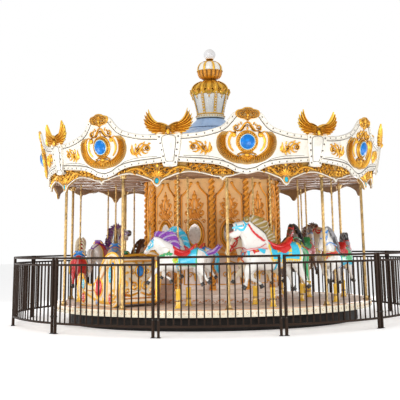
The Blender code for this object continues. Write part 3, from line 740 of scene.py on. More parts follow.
@built_once("Curved fence panel")
def fence_tree(name):
    """Curved fence panel: three rails, square bars, and a post at each end."""
    tree, given = new_tree(
        name,
        (
            ("Circle", "Float", 3.6),
            ("Panel angle", "Float", 0.5),
            ("Bars", "Int", 15),
            ("Bar", "Float", 0.02),
            ("Rail", "Float", 0.032),
            ("Post", "Float", 0.04),
            ("Bottom rail", "Float", 0.155),
            ("Second rail", "Float", 1.03),
            ("Top rail", "Float", 1.132),
            ("Height", "Float", 1.15),
        ),
    )
    wide = given.outputs["Panel angle"]
    start = math_node(tree, "SUBTRACT", -math.pi / 2, math_node(tree, "MULTIPLY", wide, 0.5))
    arc = wire(
        tree,
        "GeometryNodeCurveArc",
        {"Resolution": 17, "Radius": given.outputs["Circle"], "Start Angle": start, "Sweep Angle": wide},
    )

    def square(size):
        flat = wire(tree, "GeometryNodeCurvePrimitiveQuadrilateral", {"Width": size, "Height": size})
        corner = math_node(tree, "MULTIPLY", size, 0.2)
        return wire(
            tree,
            "GeometryNodeFilletCurve",
            {"Curve": flat, "Count": 2, "Radius": corner},
            mode="POLY",
        )

    def upright(size, low, high):
        foot = wire(tree, "ShaderNodeCombineXYZ", {"Z": low})
        head = wire(tree, "ShaderNodeCombineXYZ", {"Z": high})
        line = wire(tree, "GeometryNodeCurvePrimitiveLine", {"Start": foot, "End": head})
        return wire(
            tree,
            "GeometryNodeCurveToMesh",
            {"Curve": line, "Profile Curve": square(size), "Fill Caps": True},
        )

    def along_arc(piece, count):
        points = wire(tree, "GeometryNodeResampleCurve", {"Curve": arc, "Count": count})
        tangent = wire(tree, "GeometryNodeInputTangent")
        facing = wire(tree, "FunctionNodeAlignRotationToVector", {"Vector": tangent}, axis="X")
        return wire(
            tree,
            "GeometryNodeInstanceOnPoints",
            {"Points": points, "Instance": piece, "Rotation": facing},
        )

    pieces = []
    for label in ("Bottom rail", "Second rail", "Top rail"):
        lift = wire(tree, "ShaderNodeCombineXYZ", {"Z": given.outputs[label]})
        raised = wire(tree, "GeometryNodeTransform", {"Geometry": arc, "Translation": lift})
        pieces.append(
            wire(
                tree,
                "GeometryNodeCurveToMesh",
                {"Curve": raised, "Profile Curve": square(given.outputs["Rail"]), "Fill Caps": True},
            )
        )
    bars = math_node(tree, "ADD", given.outputs["Bars"], 2.0)
    bar = upright(given.outputs["Bar"], given.outputs["Bottom rail"], given.outputs["Second rail"])
    pieces.append(along_arc(bar, bars))
    pieces.append(along_arc(upright(given.outputs["Post"], 0.0, given.outputs["Height"]), 2))
    joined = wire(tree, "GeometryNodeJoinGeometry")
    for piece in pieces:
        tree.links.new(piece.outputs[0], joined.inputs[0])
    return end_tree(tree, given, joined)


@built_once("Roof skirt")
def skirt_tree(name):
    """Roof skirt: a cone of panels that swell a little between their seams."""
    tree, given = new_tree(
        name,
        (
            ("Edge radius", "Float", 3.0),
            ("Edge height", "Float", 2.8),
            ("Neck radius", "Float", 0.2),
            ("Neck height", "Float", 3.5),
            ("Gores", "Int", 24),
            ("Swell", "Float", 0.02),
            ("Steps", "Int", 193),
        ),
    )
    sheet = wire(
        tree,
        "GeometryNodeMeshGrid",
        {"Size X": 1.0, "Size Y": 1.0, "Vertices X": given.outputs["Steps"], "Vertices Y": 13},
    )
    split = wire(tree, "ShaderNodeSeparateXYZ", {"Vector": wire(tree, "GeometryNodeInputPosition")})
    around = math_node(tree, "ADD", split.outputs["X"], 0.5)
    up = math_node(tree, "ADD", split.outputs["Y"], 0.5)

    def between(low, high):
        span = math_node(tree, "SUBTRACT", given.outputs[high], given.outputs[low])
        found = math_node(tree, "MULTIPLY_ADD", span, up)
        tree.links.new(given.outputs[low], found.inputs[2])
        return found

    radius = between("Edge radius", "Neck radius")
    height = between("Edge height", "Neck height")
    wave = math_node(tree, "MULTIPLY", around, math_node(tree, "MULTIPLY", given.outputs["Gores"],
                                                         math.pi))
    wave = math_node(tree, "ABSOLUTE", math_node(tree, "SINE", wave))
    # a gore swells most half-way up and lies flat along its two ends
    arch = math_node(tree, "SINE", math_node(tree, "MULTIPLY", up, math.pi))
    swell = math_node(tree, "MULTIPLY", math_node(tree, "MULTIPLY", wave, arch), given.outputs["Swell"])
    turn = math_node(tree, "MULTIPLY", around, 2 * math.pi)
    place = wire(
        tree,
        "ShaderNodeCombineXYZ",
        {
            "X": math_node(tree, "MULTIPLY", radius, math_node(tree, "COSINE", turn)),
            "Y": math_node(tree, "MULTIPLY", radius, math_node(tree, "SINE", turn)),
            "Z": math_node(tree, "ADD", height, swell),
        },
    )
    bent = wire(tree, "GeometryNodeSetPosition", {"Geometry": sheet, "Position": place})
    sewn = wire(tree, "GeometryNodeMergeByDistance", {"Geometry": bent, "Distance": 0.0001})
    return end_tree(tree, given, sewn)


def add_tree(piece, tree, values):
    """Adds a tree as a modifier, each input set by its socket's identifier."""
    modifier = piece.modifiers.new(tree.name, "NODES")
    modifier.node_group = tree
    for item in tree.interface.items_tree:
        if item.in_out == "INPUT" and item.name in values:
            modifier[item.identifier] = values[item.name]


def plain_mesh(piece, smooth=50):
    """Mesh of an object with its modifiers worked in. The object is removed."""
    bpy.context.view_layer.update()
    graph = bpy.context.evaluated_depsgraph_get()
    mesh = bpy.data.meshes.new_from_object(piece.evaluated_get(graph), depsgraph=graph)
    name = piece.name
    bpy.data.objects.remove(piece)
    mesh.name = name
    close_mesh(mesh, smooth)
    return mesh


def grown(name, steps, mesh=None, smooth=50, wall=0.0):
    """Mesh that a row of trees grows from nothing or from a first mesh. A step is (tree, values)."""
    piece = bpy.data.objects.new(name, mesh or bpy.data.meshes.new(name))
    bpy.context.scene.collection.objects.link(piece)
    for tree, values in steps:
        add_tree(piece, tree, values)
    if wall:
        shell = piece.modifiers.new("Wall", "SOLIDIFY")
        shell.thickness = wall
        shell.offset = -1
    return plain_mesh(piece, smooth)


def twisted_rod(name, radius, bottom, top, turns, depth, steps, sides, finish):
    """Mesh of an upright rod with two lobes that wind round it."""
    values = {"Radius": radius, "Bottom": bottom, "Top": top, "Turns": turns, "Depth": depth}
    values.update({"Lobes": 2, "Steps": steps, "Sides": sides, "Finish": finish})
    return grown(name, [(twist_tree(), values)])


def ring_values(copies, first, finish):
    return {
        "Copies": copies,
        "First angle": math.radians(first),
        "Step": 2 * math.pi / copies,
        "Finish": finish,
    }


def ring_pieces(name, form, copies, first, body, palette, nodes=(), smooth=50):
    """One piece for each finish of the form, all turned round the axis."""
    made = []
    for finish in form.finishes:
        unit = Form()
        faces = [face for face, used in zip(form.faces, form.slots) if form.finishes[used] == finish]
        used = sorted({i for face in faces for i in face})
        renamed = {old: new for new, old in enumerate(used)}
        points = np.concatenate(form.points)[used]
        unit.add((points, [tuple(renamed[i] for i in face) for face in faces]), finish)
        steps = [(ring_tree(), ring_values(copies, first, palette[finish]))]
        mesh = grown(f"{name}_{finish}", steps, unit.mesh("unit", palette, smooth), smooth)
        made.append(add_piece(f"{name}_{finish}", mesh, body, nodes if not made else ()))
    return made


def beads(name, radius, height, bead, copies, first, finish, body):
    values = {"Radius": radius, "Height": height, "Bead": bead}
    values.update(ring_values(copies, first, finish))
    return add_piece(name, grown(name, [(bead_tree(), values)]), body)


# Fence, plinth, deck


def ball(centre, radius, steps=12):
    lift = np.linspace(-math.pi / 2, math.pi / 2, steps // 2 + 1)
    profile = [(radius * math.cos(a), radius * math.sin(a)) for a in lift]
    return turned_form(profile, steps, centre)


def build_fence(palette):
    material = paint("fence_paint", colours().fence, 0.6, 0.0, (1, 1, 1), 0.0008, 0.15)
    whole = 2 * math.pi / FENCE_PANELS
    # the posts of two panels stand 83 mm apart
    apart = 0.083 / FENCE_CIRCLE
    panel = {
        "Circle": FENCE_CIRCLE,
        "Panel angle": whole - apart,
        "Bar": sizes().bar,
        "Height": FENCE_HEIGHT,
        "Finish": material,
    }
    steps = [(fence_tree(), panel), (ring_tree(), ring_values(FENCE_PANELS, FIRST_FENCE, material))]
    mesh = grown("ring_fence", steps, smooth=35)
    nodes = [f"fence_panel_{i + 1:02d}" for i in range(FENCE_PANELS)]
    add_piece("ring_fence", mesh, "base", nodes)
    # foot plates under the two posts of a joint, and the clip that ties them together
    fittings = Form()
    bend = on_drum(FENCE_CIRCLE)
    half = apart * FENCE_CIRCLE / 2
    for side in (-1, 1):
        fittings.take(plate(side * half, 0.033, 0.0, 0.007, 0.033), bend)
    fittings.take(plate(0.0, half + 0.02, 0.244, 0.262, 0.024), bend)
    bolts = Form()
    bolts.both(dome((half, 0.253), 0.008, 0.006, 6, 2, out=0.024), "rivet")
    fittings.take(bolts, bend)
    joint = FIRST_FENCE + math.degrees(whole / 2)
    ring_pieces("fence_fittings", fittings, FENCE_PANELS, joint, "base", palette)


def plate(middle, reach, low, high, deep, finish="dark"):
    form = Form()
    outline = [(middle - reach, low), (middle + reach, low), (middle + reach, high),
               (middle - reach, high)]
    form.add(slab(outline, -deep, deep), finish)
    return form


def dress_plinth(palette):
    """The plinth keeps its solid, painted near-black as painted shade under the deck. Upright ribs and a
    lip give its dark recess some shape.
    """
    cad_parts["base_plinth"].data.materials.clear()
    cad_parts["base_plinth"].data.materials.append(palette["dark"])
    top, radius = 0.178, 2.60
    bend = on_drum(radius)
    rib = Form()
    outline = [(-0.012, 0.012), (0.012, 0.012), (0.012, top - 0.012), (-0.012, top - 0.012)]
    points, faces = slab(outline, 0.0, 0.018, 0.004)
    rib.add((bend(points), faces), "dark")
    lip = turned_wall([(radius, 0.0), (2.62, 0.0), (2.62, 0.014), (radius, 0.014)], 96)
    head = turned_wall([(radius, top - 0.014), (2.62, top - 0.014), (2.62, top), (radius, top)], 96)
    ring_pieces("plinth_ribs", rib, 60, 3.0, "base", palette)
    rails = Form()
    rails.add(lip, "dark")
    rails.add(head, "dark")
    add_piece("plinth_rails", rails.mesh("plinth_rails", palette), "base")


def deck_paint():
    """Tan non-slip paint: raised grit, boards' joints running out from the middle, worn paths."""
    material, tree, shader, place = new_material("deck_paint")
    colour = colours().deck
    split = wire(tree, "ShaderNodeSeparateXYZ", {"Vector": place})
    turn = math_node(tree, "ARCTAN2", split.outputs["Y"], split.outputs["X"])
    boards = math_node(tree, "MULTIPLY", turn, 40 / (2 * math.pi))
    joint = math_node(tree, "PINGPONG", boards, 0.5)
    gap = ramp(tree, joint, ((0.0, (0, 0, 0)), (0.035, (1, 1, 1))))
    grit = wire(tree, "ShaderNodeTexVoronoi", {"Vector": place, "Scale": 190.0})
    wear = noise(tree, place, 2.6, 6.0)
    tone = ramp(tree, wear, ((0.3, shade(colour, 0.72)), (0.5, colour), (0.72, shade(colour, 1.25))))
    darken(tree, shader, 0.75, tone, gap)
    feed(tree, spread(tree, wear, 0.45, 0.75), shader, "Roughness")
    coarse = wire(tree, "ShaderNodeBump", {"Height": gap.outputs[0], "Distance": 0.002, "Strength": 0.6})
    add_bump(tree, shader, grit.outputs["Distance"], 0.0012, 0.6, coarse.outputs["Normal"])
    return material


# Angle of the first horse place
FIRST_PLACE = -13.0


def places():
    """Every horse place: name, circle, angle."""
    found = []
    for row, circle in (("outer", OUTER_CIRCLE), ("inner", INNER_CIRCLE)):
        for i in range(BAYS - 1):
            found.append((f"horse_{row}_{i + 1:02d}", circle, FIRST_PLACE + 360 / BAYS * i))
    return found


def on_ring(circle, angle, z=0.0):
    turn = math.radians(angle)
    return np.array((circle * math.sin(turn), -circle * math.cos(turn), z))


def build_deck(palette):
    palette = dict(palette, deck=deck_paint())
    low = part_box("platform")[0].z
    deck = Form()
    outline = [
        (DECK_INNER, low),
        (DECK_OUTER - 0.002, low),
        (DECK_OUTER - 0.002, DECK_TOP - 0.004),
        (DECK_OUTER - 0.006, DECK_TOP),
        (2.12, DECK_TOP),
        (1.7, DECK_TOP),
        (DECK_INNER + 0.004, DECK_TOP),
        (DECK_INNER, DECK_TOP - 0.004),
    ]
    deck.add(turned_wall(outline, 144), "deck")
    bead = [(DECK_OUTER - 0.05, DECK_TOP - 0.001), (DECK_OUTER - 0.012, DECK_TOP - 0.001)]
    bead += [(DECK_OUTER - 0.016, DECK_TOP + 0.004), (DECK_OUTER - 0.046, DECK_TOP + 0.004)]
    deck.add(turned_wall(bead, 144), "brass")
    add_piece("deck", deck.mesh("deck", palette, 35), "turntable", ["platform"])
    sleeves = Form()
    pole = sizes().pole
    high = SLEEVE_TOP
    foot = DECK_TOP + 0.004
    wall = [
        (pole + 0.002, foot),
        (0.060, foot),
        (0.058, foot + 0.012),
        (0.046, foot + 0.022),
        (0.040, foot + 0.06),
        (0.039, high - 0.05),
        (0.044, high - 0.04),
        (0.045, high - 0.012),
        (0.040, high),
        (pole + 0.004, high),
        (pole + 0.002, high - 0.006),
    ]
    cuff = [(0.0395, foot + 0.10), (0.0435, foot + 0.105), (0.0435, foot + 0.125), (0.0395, foot + 0.13)]
    for _, circle, angle in places():
        centre = on_ring(circle, angle)
        for outline, finish in ((wall, "sleeve"), (cuff, "brass")):
            points, faces = turned_wall(outline, 20)
            sleeves.add((points + centre, faces), finish)
        for i in range(4):
            bolt = on_ring(0.053, 90 * i + 45)
            sleeves.add(ball(centre + bolt + (0, 0, foot + 0.013), 0.006, 6), "rivet")
    add_piece("pole_sleeves", sleeves.mesh("pole_sleeves", palette), "turntable")


def running_scroll(form, start, end, middle, height, count, finish="gold", thick=0.011, relief=0.014):
    """Row of volutes that turn up and down by turns, joined by stems, with leaves between."""
    step = (end - start) / count
    for i in range(count):
        u = start + (i + 0.5) * step
        way = 1 if i % 2 else -1
        v = middle + way * height * 0.12
        size = height * 0.34
        form.add(spiral((u, v), size, 90 * way, -way * 1.15, thick, relief), finish)
        stem = [(u - step * 0.62, middle - way * height * 0.32),
                (u - step * 0.30, middle + way * height * 0.38)]
        stem += [(u, v + way * size), (u + step * 0.25, v + way * size * 0.55)]
        form.add(stroke(stem, (thick * 0.3, thick, thick, thick * 0.4), relief * 0.8, 3, 5), finish)
        for turn in (-1, 0, 1):
            root = (u + step * 0.42, middle - way * height * 0.05)
            tip = (root[0] + turn * step * 0.24, root[1] - way * height * (0.42 - 0.10 * abs(turn)))
            form.add(leaf(root, tip, thick * 1.25, relief * 0.8), finish)


def leaf(root, tip, width, height, bow=0.12, steps=2):
    """Pointed leaf from its root to its tip, bowed to one side."""
    root, tip = np.array(root), np.array(tip)
    way = tip - root
    side = np.array((-way[1], way[0])) * bow
    path = [root, root + way * 0.35 + side, root + way * 0.7 + side * 0.8, tip]
    return stroke(path, (width * 0.45, width, width * 0.7, width * 0.08), height, steps, 5)


def fan(form, turns, root, tip, size, finish="gold"):
    """Leaves that spread from one root, each with its mirror image but for the one at 0.
    A root is (reach across, up) and a tip (reach across, up, reach up)."""
    for turn in turns:
        across, rise = math.sin(math.radians(turn)), math.cos(math.radians(turn))
        shape = leaf((root[0] * across, root[1]), (tip[0] * across, tip[1] + tip[2] * rise), *size)
        if turn:
            form.both(shape, finish)
        else:
            form.add(shape, finish)


def build_band(palette):
    """Edge of the deck: mouldings, an orange line on top, lamps and small panels between them."""
    low, high = (corner.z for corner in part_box("platform_band"))
    inner, outer = DECK_OUTER + 0.0003, 2.88
    body = Form()
    outline = [
        (inner, low),
        (outer - 0.006, low),
        (outer, low + 0.006),
        (outer, low + 0.016),
        (outer - 0.008, low + 0.022),
        (outer - 0.008, high - 0.030),
        (outer, high - 0.024),
        (outer, high - 0.010),
        (outer - 0.004, high - 0.008),
        (inner, high - 0.008),
    ]
    body.add(turned_wall(outline, 180), "band")
    top = [(inner, high - 0.008), (outer - 0.002, high - 0.008), (outer - 0.002, high), (inner, high)]
    body.add(turned_wall(top, 180), "orange")
    add_piece("deck_band", body.mesh("deck_band", palette, 40), "turntable", ["platform_band"])
    count = sizes().lamps
    middle = (low + high) / 2 - 0.003
    bend = on_drum(outer - 0.008)
    unit = Form()
    unit.add(dome((0, middle), sizes().lamp * 1.35, 0.005, 10, 2), "brass")
    unit.add(dome((0, middle), sizes().lamp * 0.8, 0.0078, 10, 3, out=0.0002), "glass")
    half = math.pi * outer / count
    for side in (-1, 1):
        diamond = [(half, middle - 0.016), (half + side * 0.020, middle), (half, middle + 0.016)]
        unit.add(stroke(diamond, (0.002, 0.004, 0.002), 0.004, 1, 5), "orange")
    bent = Form()
    bent.take(unit, bend)
    palette = dict(palette, glass=lamp_glass())
    ring_pieces("deck_lamps", bent, count, 1.5, "turntable", palette)


def lamp_glass():
    """Frosted warm lamp glass, a little bright in itself."""
    material, tree, shader, place = new_material("lamp_glass")
    haze = noise(tree, place, 90.0, 2.0)
    tone = ramp(tree, haze, ((0.3, (0.95, 0.86, 0.62)), (0.7, (1.0, 0.95, 0.82))))
    feed(tree, tone, shader, "Base Color")
    tree.links.new(tone.outputs[0], shader.inputs["Emission Color"])
    shader.inputs["Emission Strength"].default_value = 0.25
    shader.inputs["Roughness"].default_value = 0.25
    return material


# Canopy


def build_canopy(palette):
    for node, finish in (("canopy_frame", palette["brass"]), ("ceiling", palette["ceiling"])):
        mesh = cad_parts[node].data
        mesh.materials.clear()
        mesh.materials.append(finish)
    high = 2.46
    rod = twisted_rod("rod", sizes().post, DECK_TOP + 0.045, high, 14.0, 0.075, 80, 8, palette["brass"])
    rod.transform(Matrix.Translation((0, -POST_CIRCLE, 0)))
    ring = (ring_tree(), ring_values(BAYS, FIRST_POST, palette["brass"]))
    add_piece("brass_posts", grown("brass_posts", [ring], rod), "turntable")
    foot = Form()
    wall = [(0.0335, DECK_TOP + 0.004), (0.062, DECK_TOP + 0.004), (0.060, DECK_TOP + 0.016)]
    wall += [(0.044, DECK_TOP + 0.026), (0.042, DECK_TOP + 0.060), (0.0335, DECK_TOP + 0.064)]
    head = [(0.0335, high - 0.09), (0.046, high - 0.085), (0.052, high - 0.05), (0.066, high - 0.022)]
    head += [(0.066, high - 0.012), (0.0335, high - 0.012)]
    for outline in (wall, head):
        points, faces = turned_wall(outline, 20)
        foot.add((points + (0, -POST_CIRCLE, 0), faces), "brass")
    ring_pieces("post_collars", foot, BAYS, FIRST_POST, "turntable", palette)
    # battens run out from the drum under the ceiling, and hoops cross them
    rib = Form()
    half, deep, start, end = 0.018, 0.022, 1.33, 2.955
    outline = [(-half, -end), (half, -end), (half, -start), (-half, -start)]
    lower = np.array([(x * 0.7, y, CEILING_Z - deep) for x, y in outline])
    upper = np.array([(x, y, CEILING_Z - 0.0004) for x, y in outline])
    rib.add((np.concatenate([lower, upper]), ring_faces(2, 4)), "ceiling")
    ring_pieces("ceiling_battens", rib, 2 * BAYS, FIRST_POST, "turntable", palette)
    hoops = Form()
    for radius in (1.42, 1.98, 2.27, 2.62, 2.90):
        hoop = [
            (radius - 0.011, CEILING_Z - 0.016),
            (radius + 0.011, CEILING_Z - 0.016),
            (radius + 0.016, CEILING_Z - 0.0004),
            (radius - 0.016, CEILING_Z - 0.0004),
        ]
        hoops.add(turned_wall(hoop, 120), "ceiling")
    add_piece("ceiling_hoops", hoops.mesh("ceiling_hoops", palette), "turntable")
    values = {
        "Edge radius": ROOF_EDGE,
        "Edge height": ROOF_EDGE_Z,
        "Neck radius": ROOF_NECK,
        "Neck height": ROOF_NECK_Z,
        "Gores": sizes().gores,
        "Swell": 0.035,
        "Steps": sizes().gores * 8 + 1,
        "Finish": palette["roof"],
    }
    mesh = grown("roof_skirt", [(skirt_tree(), values)], wall=0.012)
    add_piece("roof_skirt", mesh, "turntable", ["roof"])
    seam = Form()
    rows = []
    for share in np.linspace(0, 1, 9):
        radius = ROOF_EDGE + (ROOF_NECK - ROOF_EDGE) * share - 0.002
        rows.append((0, -radius, ROOF_EDGE_Z + (ROOF_NECK_Z - ROOF_EDGE_Z) * share + 0.004, 0.012, 0.010))
    seam.add(tube(rows, 6, (1, 0, 0)), "roof")
    ring_pieces("roof_seams", seam, sizes().gores, 0.0, "turntable", palette)


def lobed_form(profile, steps, lobes, start=0.0):
    """Turned body whose radius swells between lobes. A row is radius, height, depth of the lobes."""
    turn = np.linspace(0, 2 * np.pi, steps, endpoint=False)
    wave = np.abs(np.cos((turn - math.radians(start)) * lobes / 2))
    rows = []
    for radius, z, depth in smooth_rows(profile, 3):
        reach = np.maximum(radius * (1 - depth * (1 - wave)), 0.0005)
        rows.append(np.stack([reach * np.sin(turn), -reach * np.cos(turn), turn * 0 + z], 1))
    return np.concatenate(rows), ring_faces(len(rows), steps)


CROWN_RIBS, FIRST_RIB = 8, 19.0


def build_crown(palette):
    body = Form()
    neck = [(0.0, 3.48), (0.47, 3.48), (0.42, 3.52), (0.345, 3.58), (0.29, 3.63), (0.268, 3.655),
            (0, 3.655)]
    body.add(turned_form(neck, 64), "roof")
    body.add(turned_form([(0.0, 3.652), (0.262, 3.652), (0.266, 3.662), (0.262, 3.674), (0, 3.674)], 64),
             "black_band")
    band = [(0, 3.672), (0.272, 3.674), (0.282, 3.684), (0.276, 3.70), (0.258, 3.742), (0, 3.742)]
    body.add(turned_form(band, 64), "band")
    lower = [(0.250, 3.74, 0), (0.256, 3.78, 0.02), (0.285, 3.90, 0.03), (0.318, 4.02, 0.035),
             (0.345, 4.13, 0.04)]
    lower += [(0.30, 4.20, 0.03)]
    half_bay = 180 / CROWN_RIBS
    body.add(lobed_form(lower, 96, CROWN_RIBS, FIRST_RIB + half_bay), "crown")
    foot = [(0.0, 3.738), (0.262, 3.740), (0.268, 3.750), (0.262, 3.764), (0.0, 3.766)]
    body.add(turned_form(foot, 64), "gold")
    shoulder = [(0.30, 4.12, 0), (0.356, 4.13, 0.03), (0.368, 4.18, 0.05), (0.362, 4.235, 0.08),
                (0.335, 4.29, 0.10)]
    shoulder += [(0.285, 4.34, 0.10), (0.215, 4.38, 0.07), (0.150, 4.402, 0.03), (0.12, 4.41, 0.0)]
    body.add(lobed_form(shoulder, 96, CROWN_RIBS * 2, FIRST_RIB), "leaf")
    body.add(turned_form([(0, 4.40), (0.140, 4.402), (0.146, 4.414), (0.118, 4.43), (0.132, 4.446),
                          (0, 4.448)], 48), "gold")
    cup = [(0.110, 4.44, 0), (0.160, 4.452, 0.05), (0.205, 4.48, 0.10), (0.232, 4.53, 0.11),
           (0.243, 4.585, 0.09)]
    cup += [(0.238, 4.612, 0.05), (0.18, 4.63, 0)]
    body.add(lobed_form(cup, 96, CROWN_RIBS * 2, FIRST_RIB), "rope")
    cap = [(0.20, 4.60, 0), (0.242, 4.612, 0.04), (0.246, 4.65, 0.08), (0.236, 4.70, 0.10),
           (0.205, 4.745, 0.11)]
    cap += [(0.160, 4.775, 0.10), (0.105, 4.793, 0.07), (0.06, 4.80, 0)]
    body.add(lobed_form(cap, 96, CROWN_RIBS, FIRST_RIB + half_bay), "crown")
    finial = [(0, 4.78), (0.13, 4.782), (0.138, 4.795), (0.085, 4.812), (0.060, 4.826), (0.072, 4.842),
              (0.078, 4.85), (0, 4.852)]
    body.add(turned_form(finial, 48), "gold")
    body.add(ball((0, 0, 4.935), 0.115, 32), "globe")
    palette = dict(palette, globe=paint("globe_glass", (0.86, 0.84, 0.83), 0.35, 0.3))
    add_piece("crown_body", body.mesh("crown_body", palette), "turntable", ["crown"])
    rib = Form()
    rows = [(0, -0.262, 3.75), (0, -0.292, 3.90), (0, -0.325, 4.02), (0, -0.352, 4.13), (0, -0.368, 4.19)]
    rows += [(0, -0.368, 4.245), (0, -0.335, 4.305), (0, -0.275, 4.355), (0, -0.180, 4.40)]
    rib.add(tube(smooth_rows([(*row, 0.026, 0.009) for row in rows], 3), 8, (1, 0, 0)), "gold")
    for share in np.linspace(0.05, 0.80, 9):
        x, y, z = smooth_rows(rows, 12)[int(share * 12 * 4)]
        rib.add(ball((x, y - 0.007, z), 0.0135, 8), "crown")
    upper = [(0, -0.244, 4.60), (0, -0.243, 4.66), (0, -0.222, 4.715), (0, -0.180, 4.76),
             (0, -0.115, 4.792)]
    rib.add(tube(smooth_rows([(*row, 0.022, 0.010) for row in upper], 3), 8, (1, 0, 0)), "leaf")
    ring_pieces("crown_ribs", rib, CROWN_RIBS, FIRST_RIB, "turntable", palette)
    swag = Form()
    bend = on_drum(0.352)
    for turn in (-75, -48, -24, 0, 24, 48, 75):
        way = math.radians(turn)
        tip = (0.092 * math.sin(way), 4.190 - 0.100 * math.cos(way))
        swag.add(leaf((0.015 * math.sin(way), 4.190), tip, 0.021, 0.026, 0.0), "leaf")
    for side in (-1, 1):
        swag.add(spiral((side * 0.070, 4.195), 0.034, 90, side * 1.2, 0.012, 0.022), "gold")
    swag.add(dome((0, 4.175), 0.034, 0.036, 12, 3), "rope")
    swag.add(leaf((0, 4.10), (0, 4.035), 0.016, 0.018, 0.0), "gold")
    leant = Form()
    # the panels lean in below the shoulder
    leant.take(swag, lambda points: bend(points + np.outer(points[:, 1] - 4.14, (0, 0, 0.24))))
    ring_pieces("crown_swags", leant, CROWN_RIBS, FIRST_RIB + half_bay, "turntable", palette)
    step = half_bay * 2
    values = (("crown_pearls", 0.278, 3.712, 0.011, 32), ("dome_pearls", 0.247, 4.605, 0.010, 32))
    for name, radius, z, bead, copies in values:
        beads(name, radius, z, bead, copies, FIRST_RIB + step / 2, palette["gold"], "turntable")


# Drum


def mirror_glass():
    """Old silvered glass with a warm cast and cloudy spots."""
    material, tree, shader, place = new_material("mirror_glass")
    spots = noise(tree, place, 30.0, 6.0)
    tone = ramp(tree, spots, ((0.30, (0.50, 0.42, 0.36)), (0.45, (0.76, 0.68, 0.62)),
                              (0.8, (0.88, 0.82, 0.78))))
    feed(tree, tone, shader, "Base Color")
    shader.inputs["Metallic"].default_value = 0.35
    feed(tree, spread(tree, spots, 0.10, 0.30), shader, "Roughness")
    add_bump(tree, shader, spots, 0.0003, 0.3)
    return material


def oval(centre, wide, high, count=28, start=0.0):
    turn = np.radians(start) + np.linspace(0, 2 * np.pi, count, endpoint=False)
    return [(centre[0] + wide * math.cos(a), centre[1] + high * math.sin(a)) for a in turn]


def oval_frame(centre, wide, high, thick, relief, sides=8, out=0.0):
    """Closed oval moulding."""
    path = oval(centre, wide, high, 32)
    path.append(path[0])
    rows = [(u, v, out, relief, thick) for u, v in path]
    return tube(rows, sides, (0, 0, 1))


def drum_relief():
    """Mouldings of one drum panel as (across, height, out)."""
    form = Form()
    mirror = (0.0, 1.49)
    form.add(slab(oval(mirror, 0.112, 0.183), 0.0, 0.006), "mirror")
    form.add(oval_frame(mirror, 0.122, 0.192, 0.016, 0.022), "gold")
    form.add(slab(oval(mirror, 0.150, 0.228), 0.0, 0.004), "gold")
    form.add(oval_frame(mirror, 0.158, 0.238, 0.020, 0.026), "bronze")
    for u, v in oval(mirror, 0.137, 0.212, 26):
        form.add(dome((u, v), 0.0085, 0.010, 6, 2), "bronze")
    edge = [(0.237, 0.66), (0.237, 1.4), (0.237, 2.10), (0.215, 2.165), (0.150, 2.235), (0.095, 2.30),
            (0.062, 2.372)]
    form.both(stroke(edge, (0.013, 0.013, 0.017, 0.019, 0.020, 0.018), 0.026, 4), "rope")
    form.both(dome((0.062, 2.372), 0.031, 0.032, 12, 4), "rope")
    form.both(stroke([(0.190, 0.66), (0.190, 1.15)], (0.008, 0.008), 0.014, 1, 5), "gold")
    form.both(stroke([(0.265, 0.60), (0.265, 1.4), (0.265, 2.30)], (0.006, 0.006), 0.012, 1, 5), "bronze")
    # crest: a bud over two pairs of scrolls and a fan of leaves
    form.add(dome((0, 2.140), 0.046, 0.032, 12, 3, 1.25), "bronze")
    form.add(leaf((0, 2.17), (0, 2.250), 0.024, 0.022, 0.0), "bronze")
    form.both(stroke([(0.0, 2.13), (0.034, 2.07), (0.048, 2.01), (0.024, 1.93)],
                     (0.018, 0.026, 0.028, 0.016), 0.026), "bronze")
    form.both(spiral((0.112, 1.985), 0.052, 200, -1.2, 0.021, 0.024), "bronze")
    form.both(spiral((0.125, 1.860), 0.068, 120, 1.25, 0.024, 0.026), "bronze")
    form.both(stroke([(0.02, 1.95), (0.06, 1.91), (0.10, 1.92), (0.165, 2.02)],
                     (0.014, 0.022, 0.022, 0.010), 0.024), "bronze")
    form.both(leaf((0.06, 2.04), (0.115, 2.105), 0.022, 0.024, 0.2), "bronze")
    fan(form, (-62, -40, -20, 0), (0.02, 1.87), (0.16, 1.80, -0.075), (0.024, 0.024, 0.05), "bronze")
    form.add(dome((0, 1.885), 0.036, 0.030, 12, 3), "bronze")
    # spandrels and base under the mirror
    form.both(spiral((0.165, 1.705), 0.040, 160, -1.1, 0.012, 0.016), "bronze")
    form.both(spiral((0.165, 1.275), 0.045, 200, 1.2, 0.013, 0.016), "bronze")
    form.both(stroke([(0.0, 1.215), (0.06, 1.19), (0.12, 1.215), (0.19, 1.25)],
                     (0.014, 0.018, 0.016, 0.008), 0.018), "bronze")
    form.add(dome((0, 1.205), 0.034, 0.026, 12, 3), "bronze")
    fan(form, (-56, -28, 0), (0, 1.19), (0.15, 1.18, -0.13), (0.018, 0.018, 0.04), "bronze")
    # lower field with its own frame
    field = [(-0.20, 0.64), (0.20, 0.64), (0.20, 0.96), (0.0, 1.03), (-0.20, 0.96), (-0.20, 0.64)]
    form.add(stroke(field, (0.010, 0.010), 0.014, 1, 5), "gold")
    form.both(spiral((0.085, 0.80), 0.055, 180, -1.2, 0.013, 0.017), "gold")
    form.add(leaf((0, 0.70), (0, 0.97), 0.022, 0.020, 0.0), "gold")
    form.add(stroke([(-0.29, 1.14), (0.29, 1.14)], (0.018, 0.018), 0.024, 1, 5), "rope")
    return form


# Circle of the columns, and the heights where the drum begins, its dado ends and the drum ends
COLUMN_CIRCLE = 1.219
DRUM_LOW, DADO_TOP, DRUM_HIGH = 0.3203, 1.14, 2.62


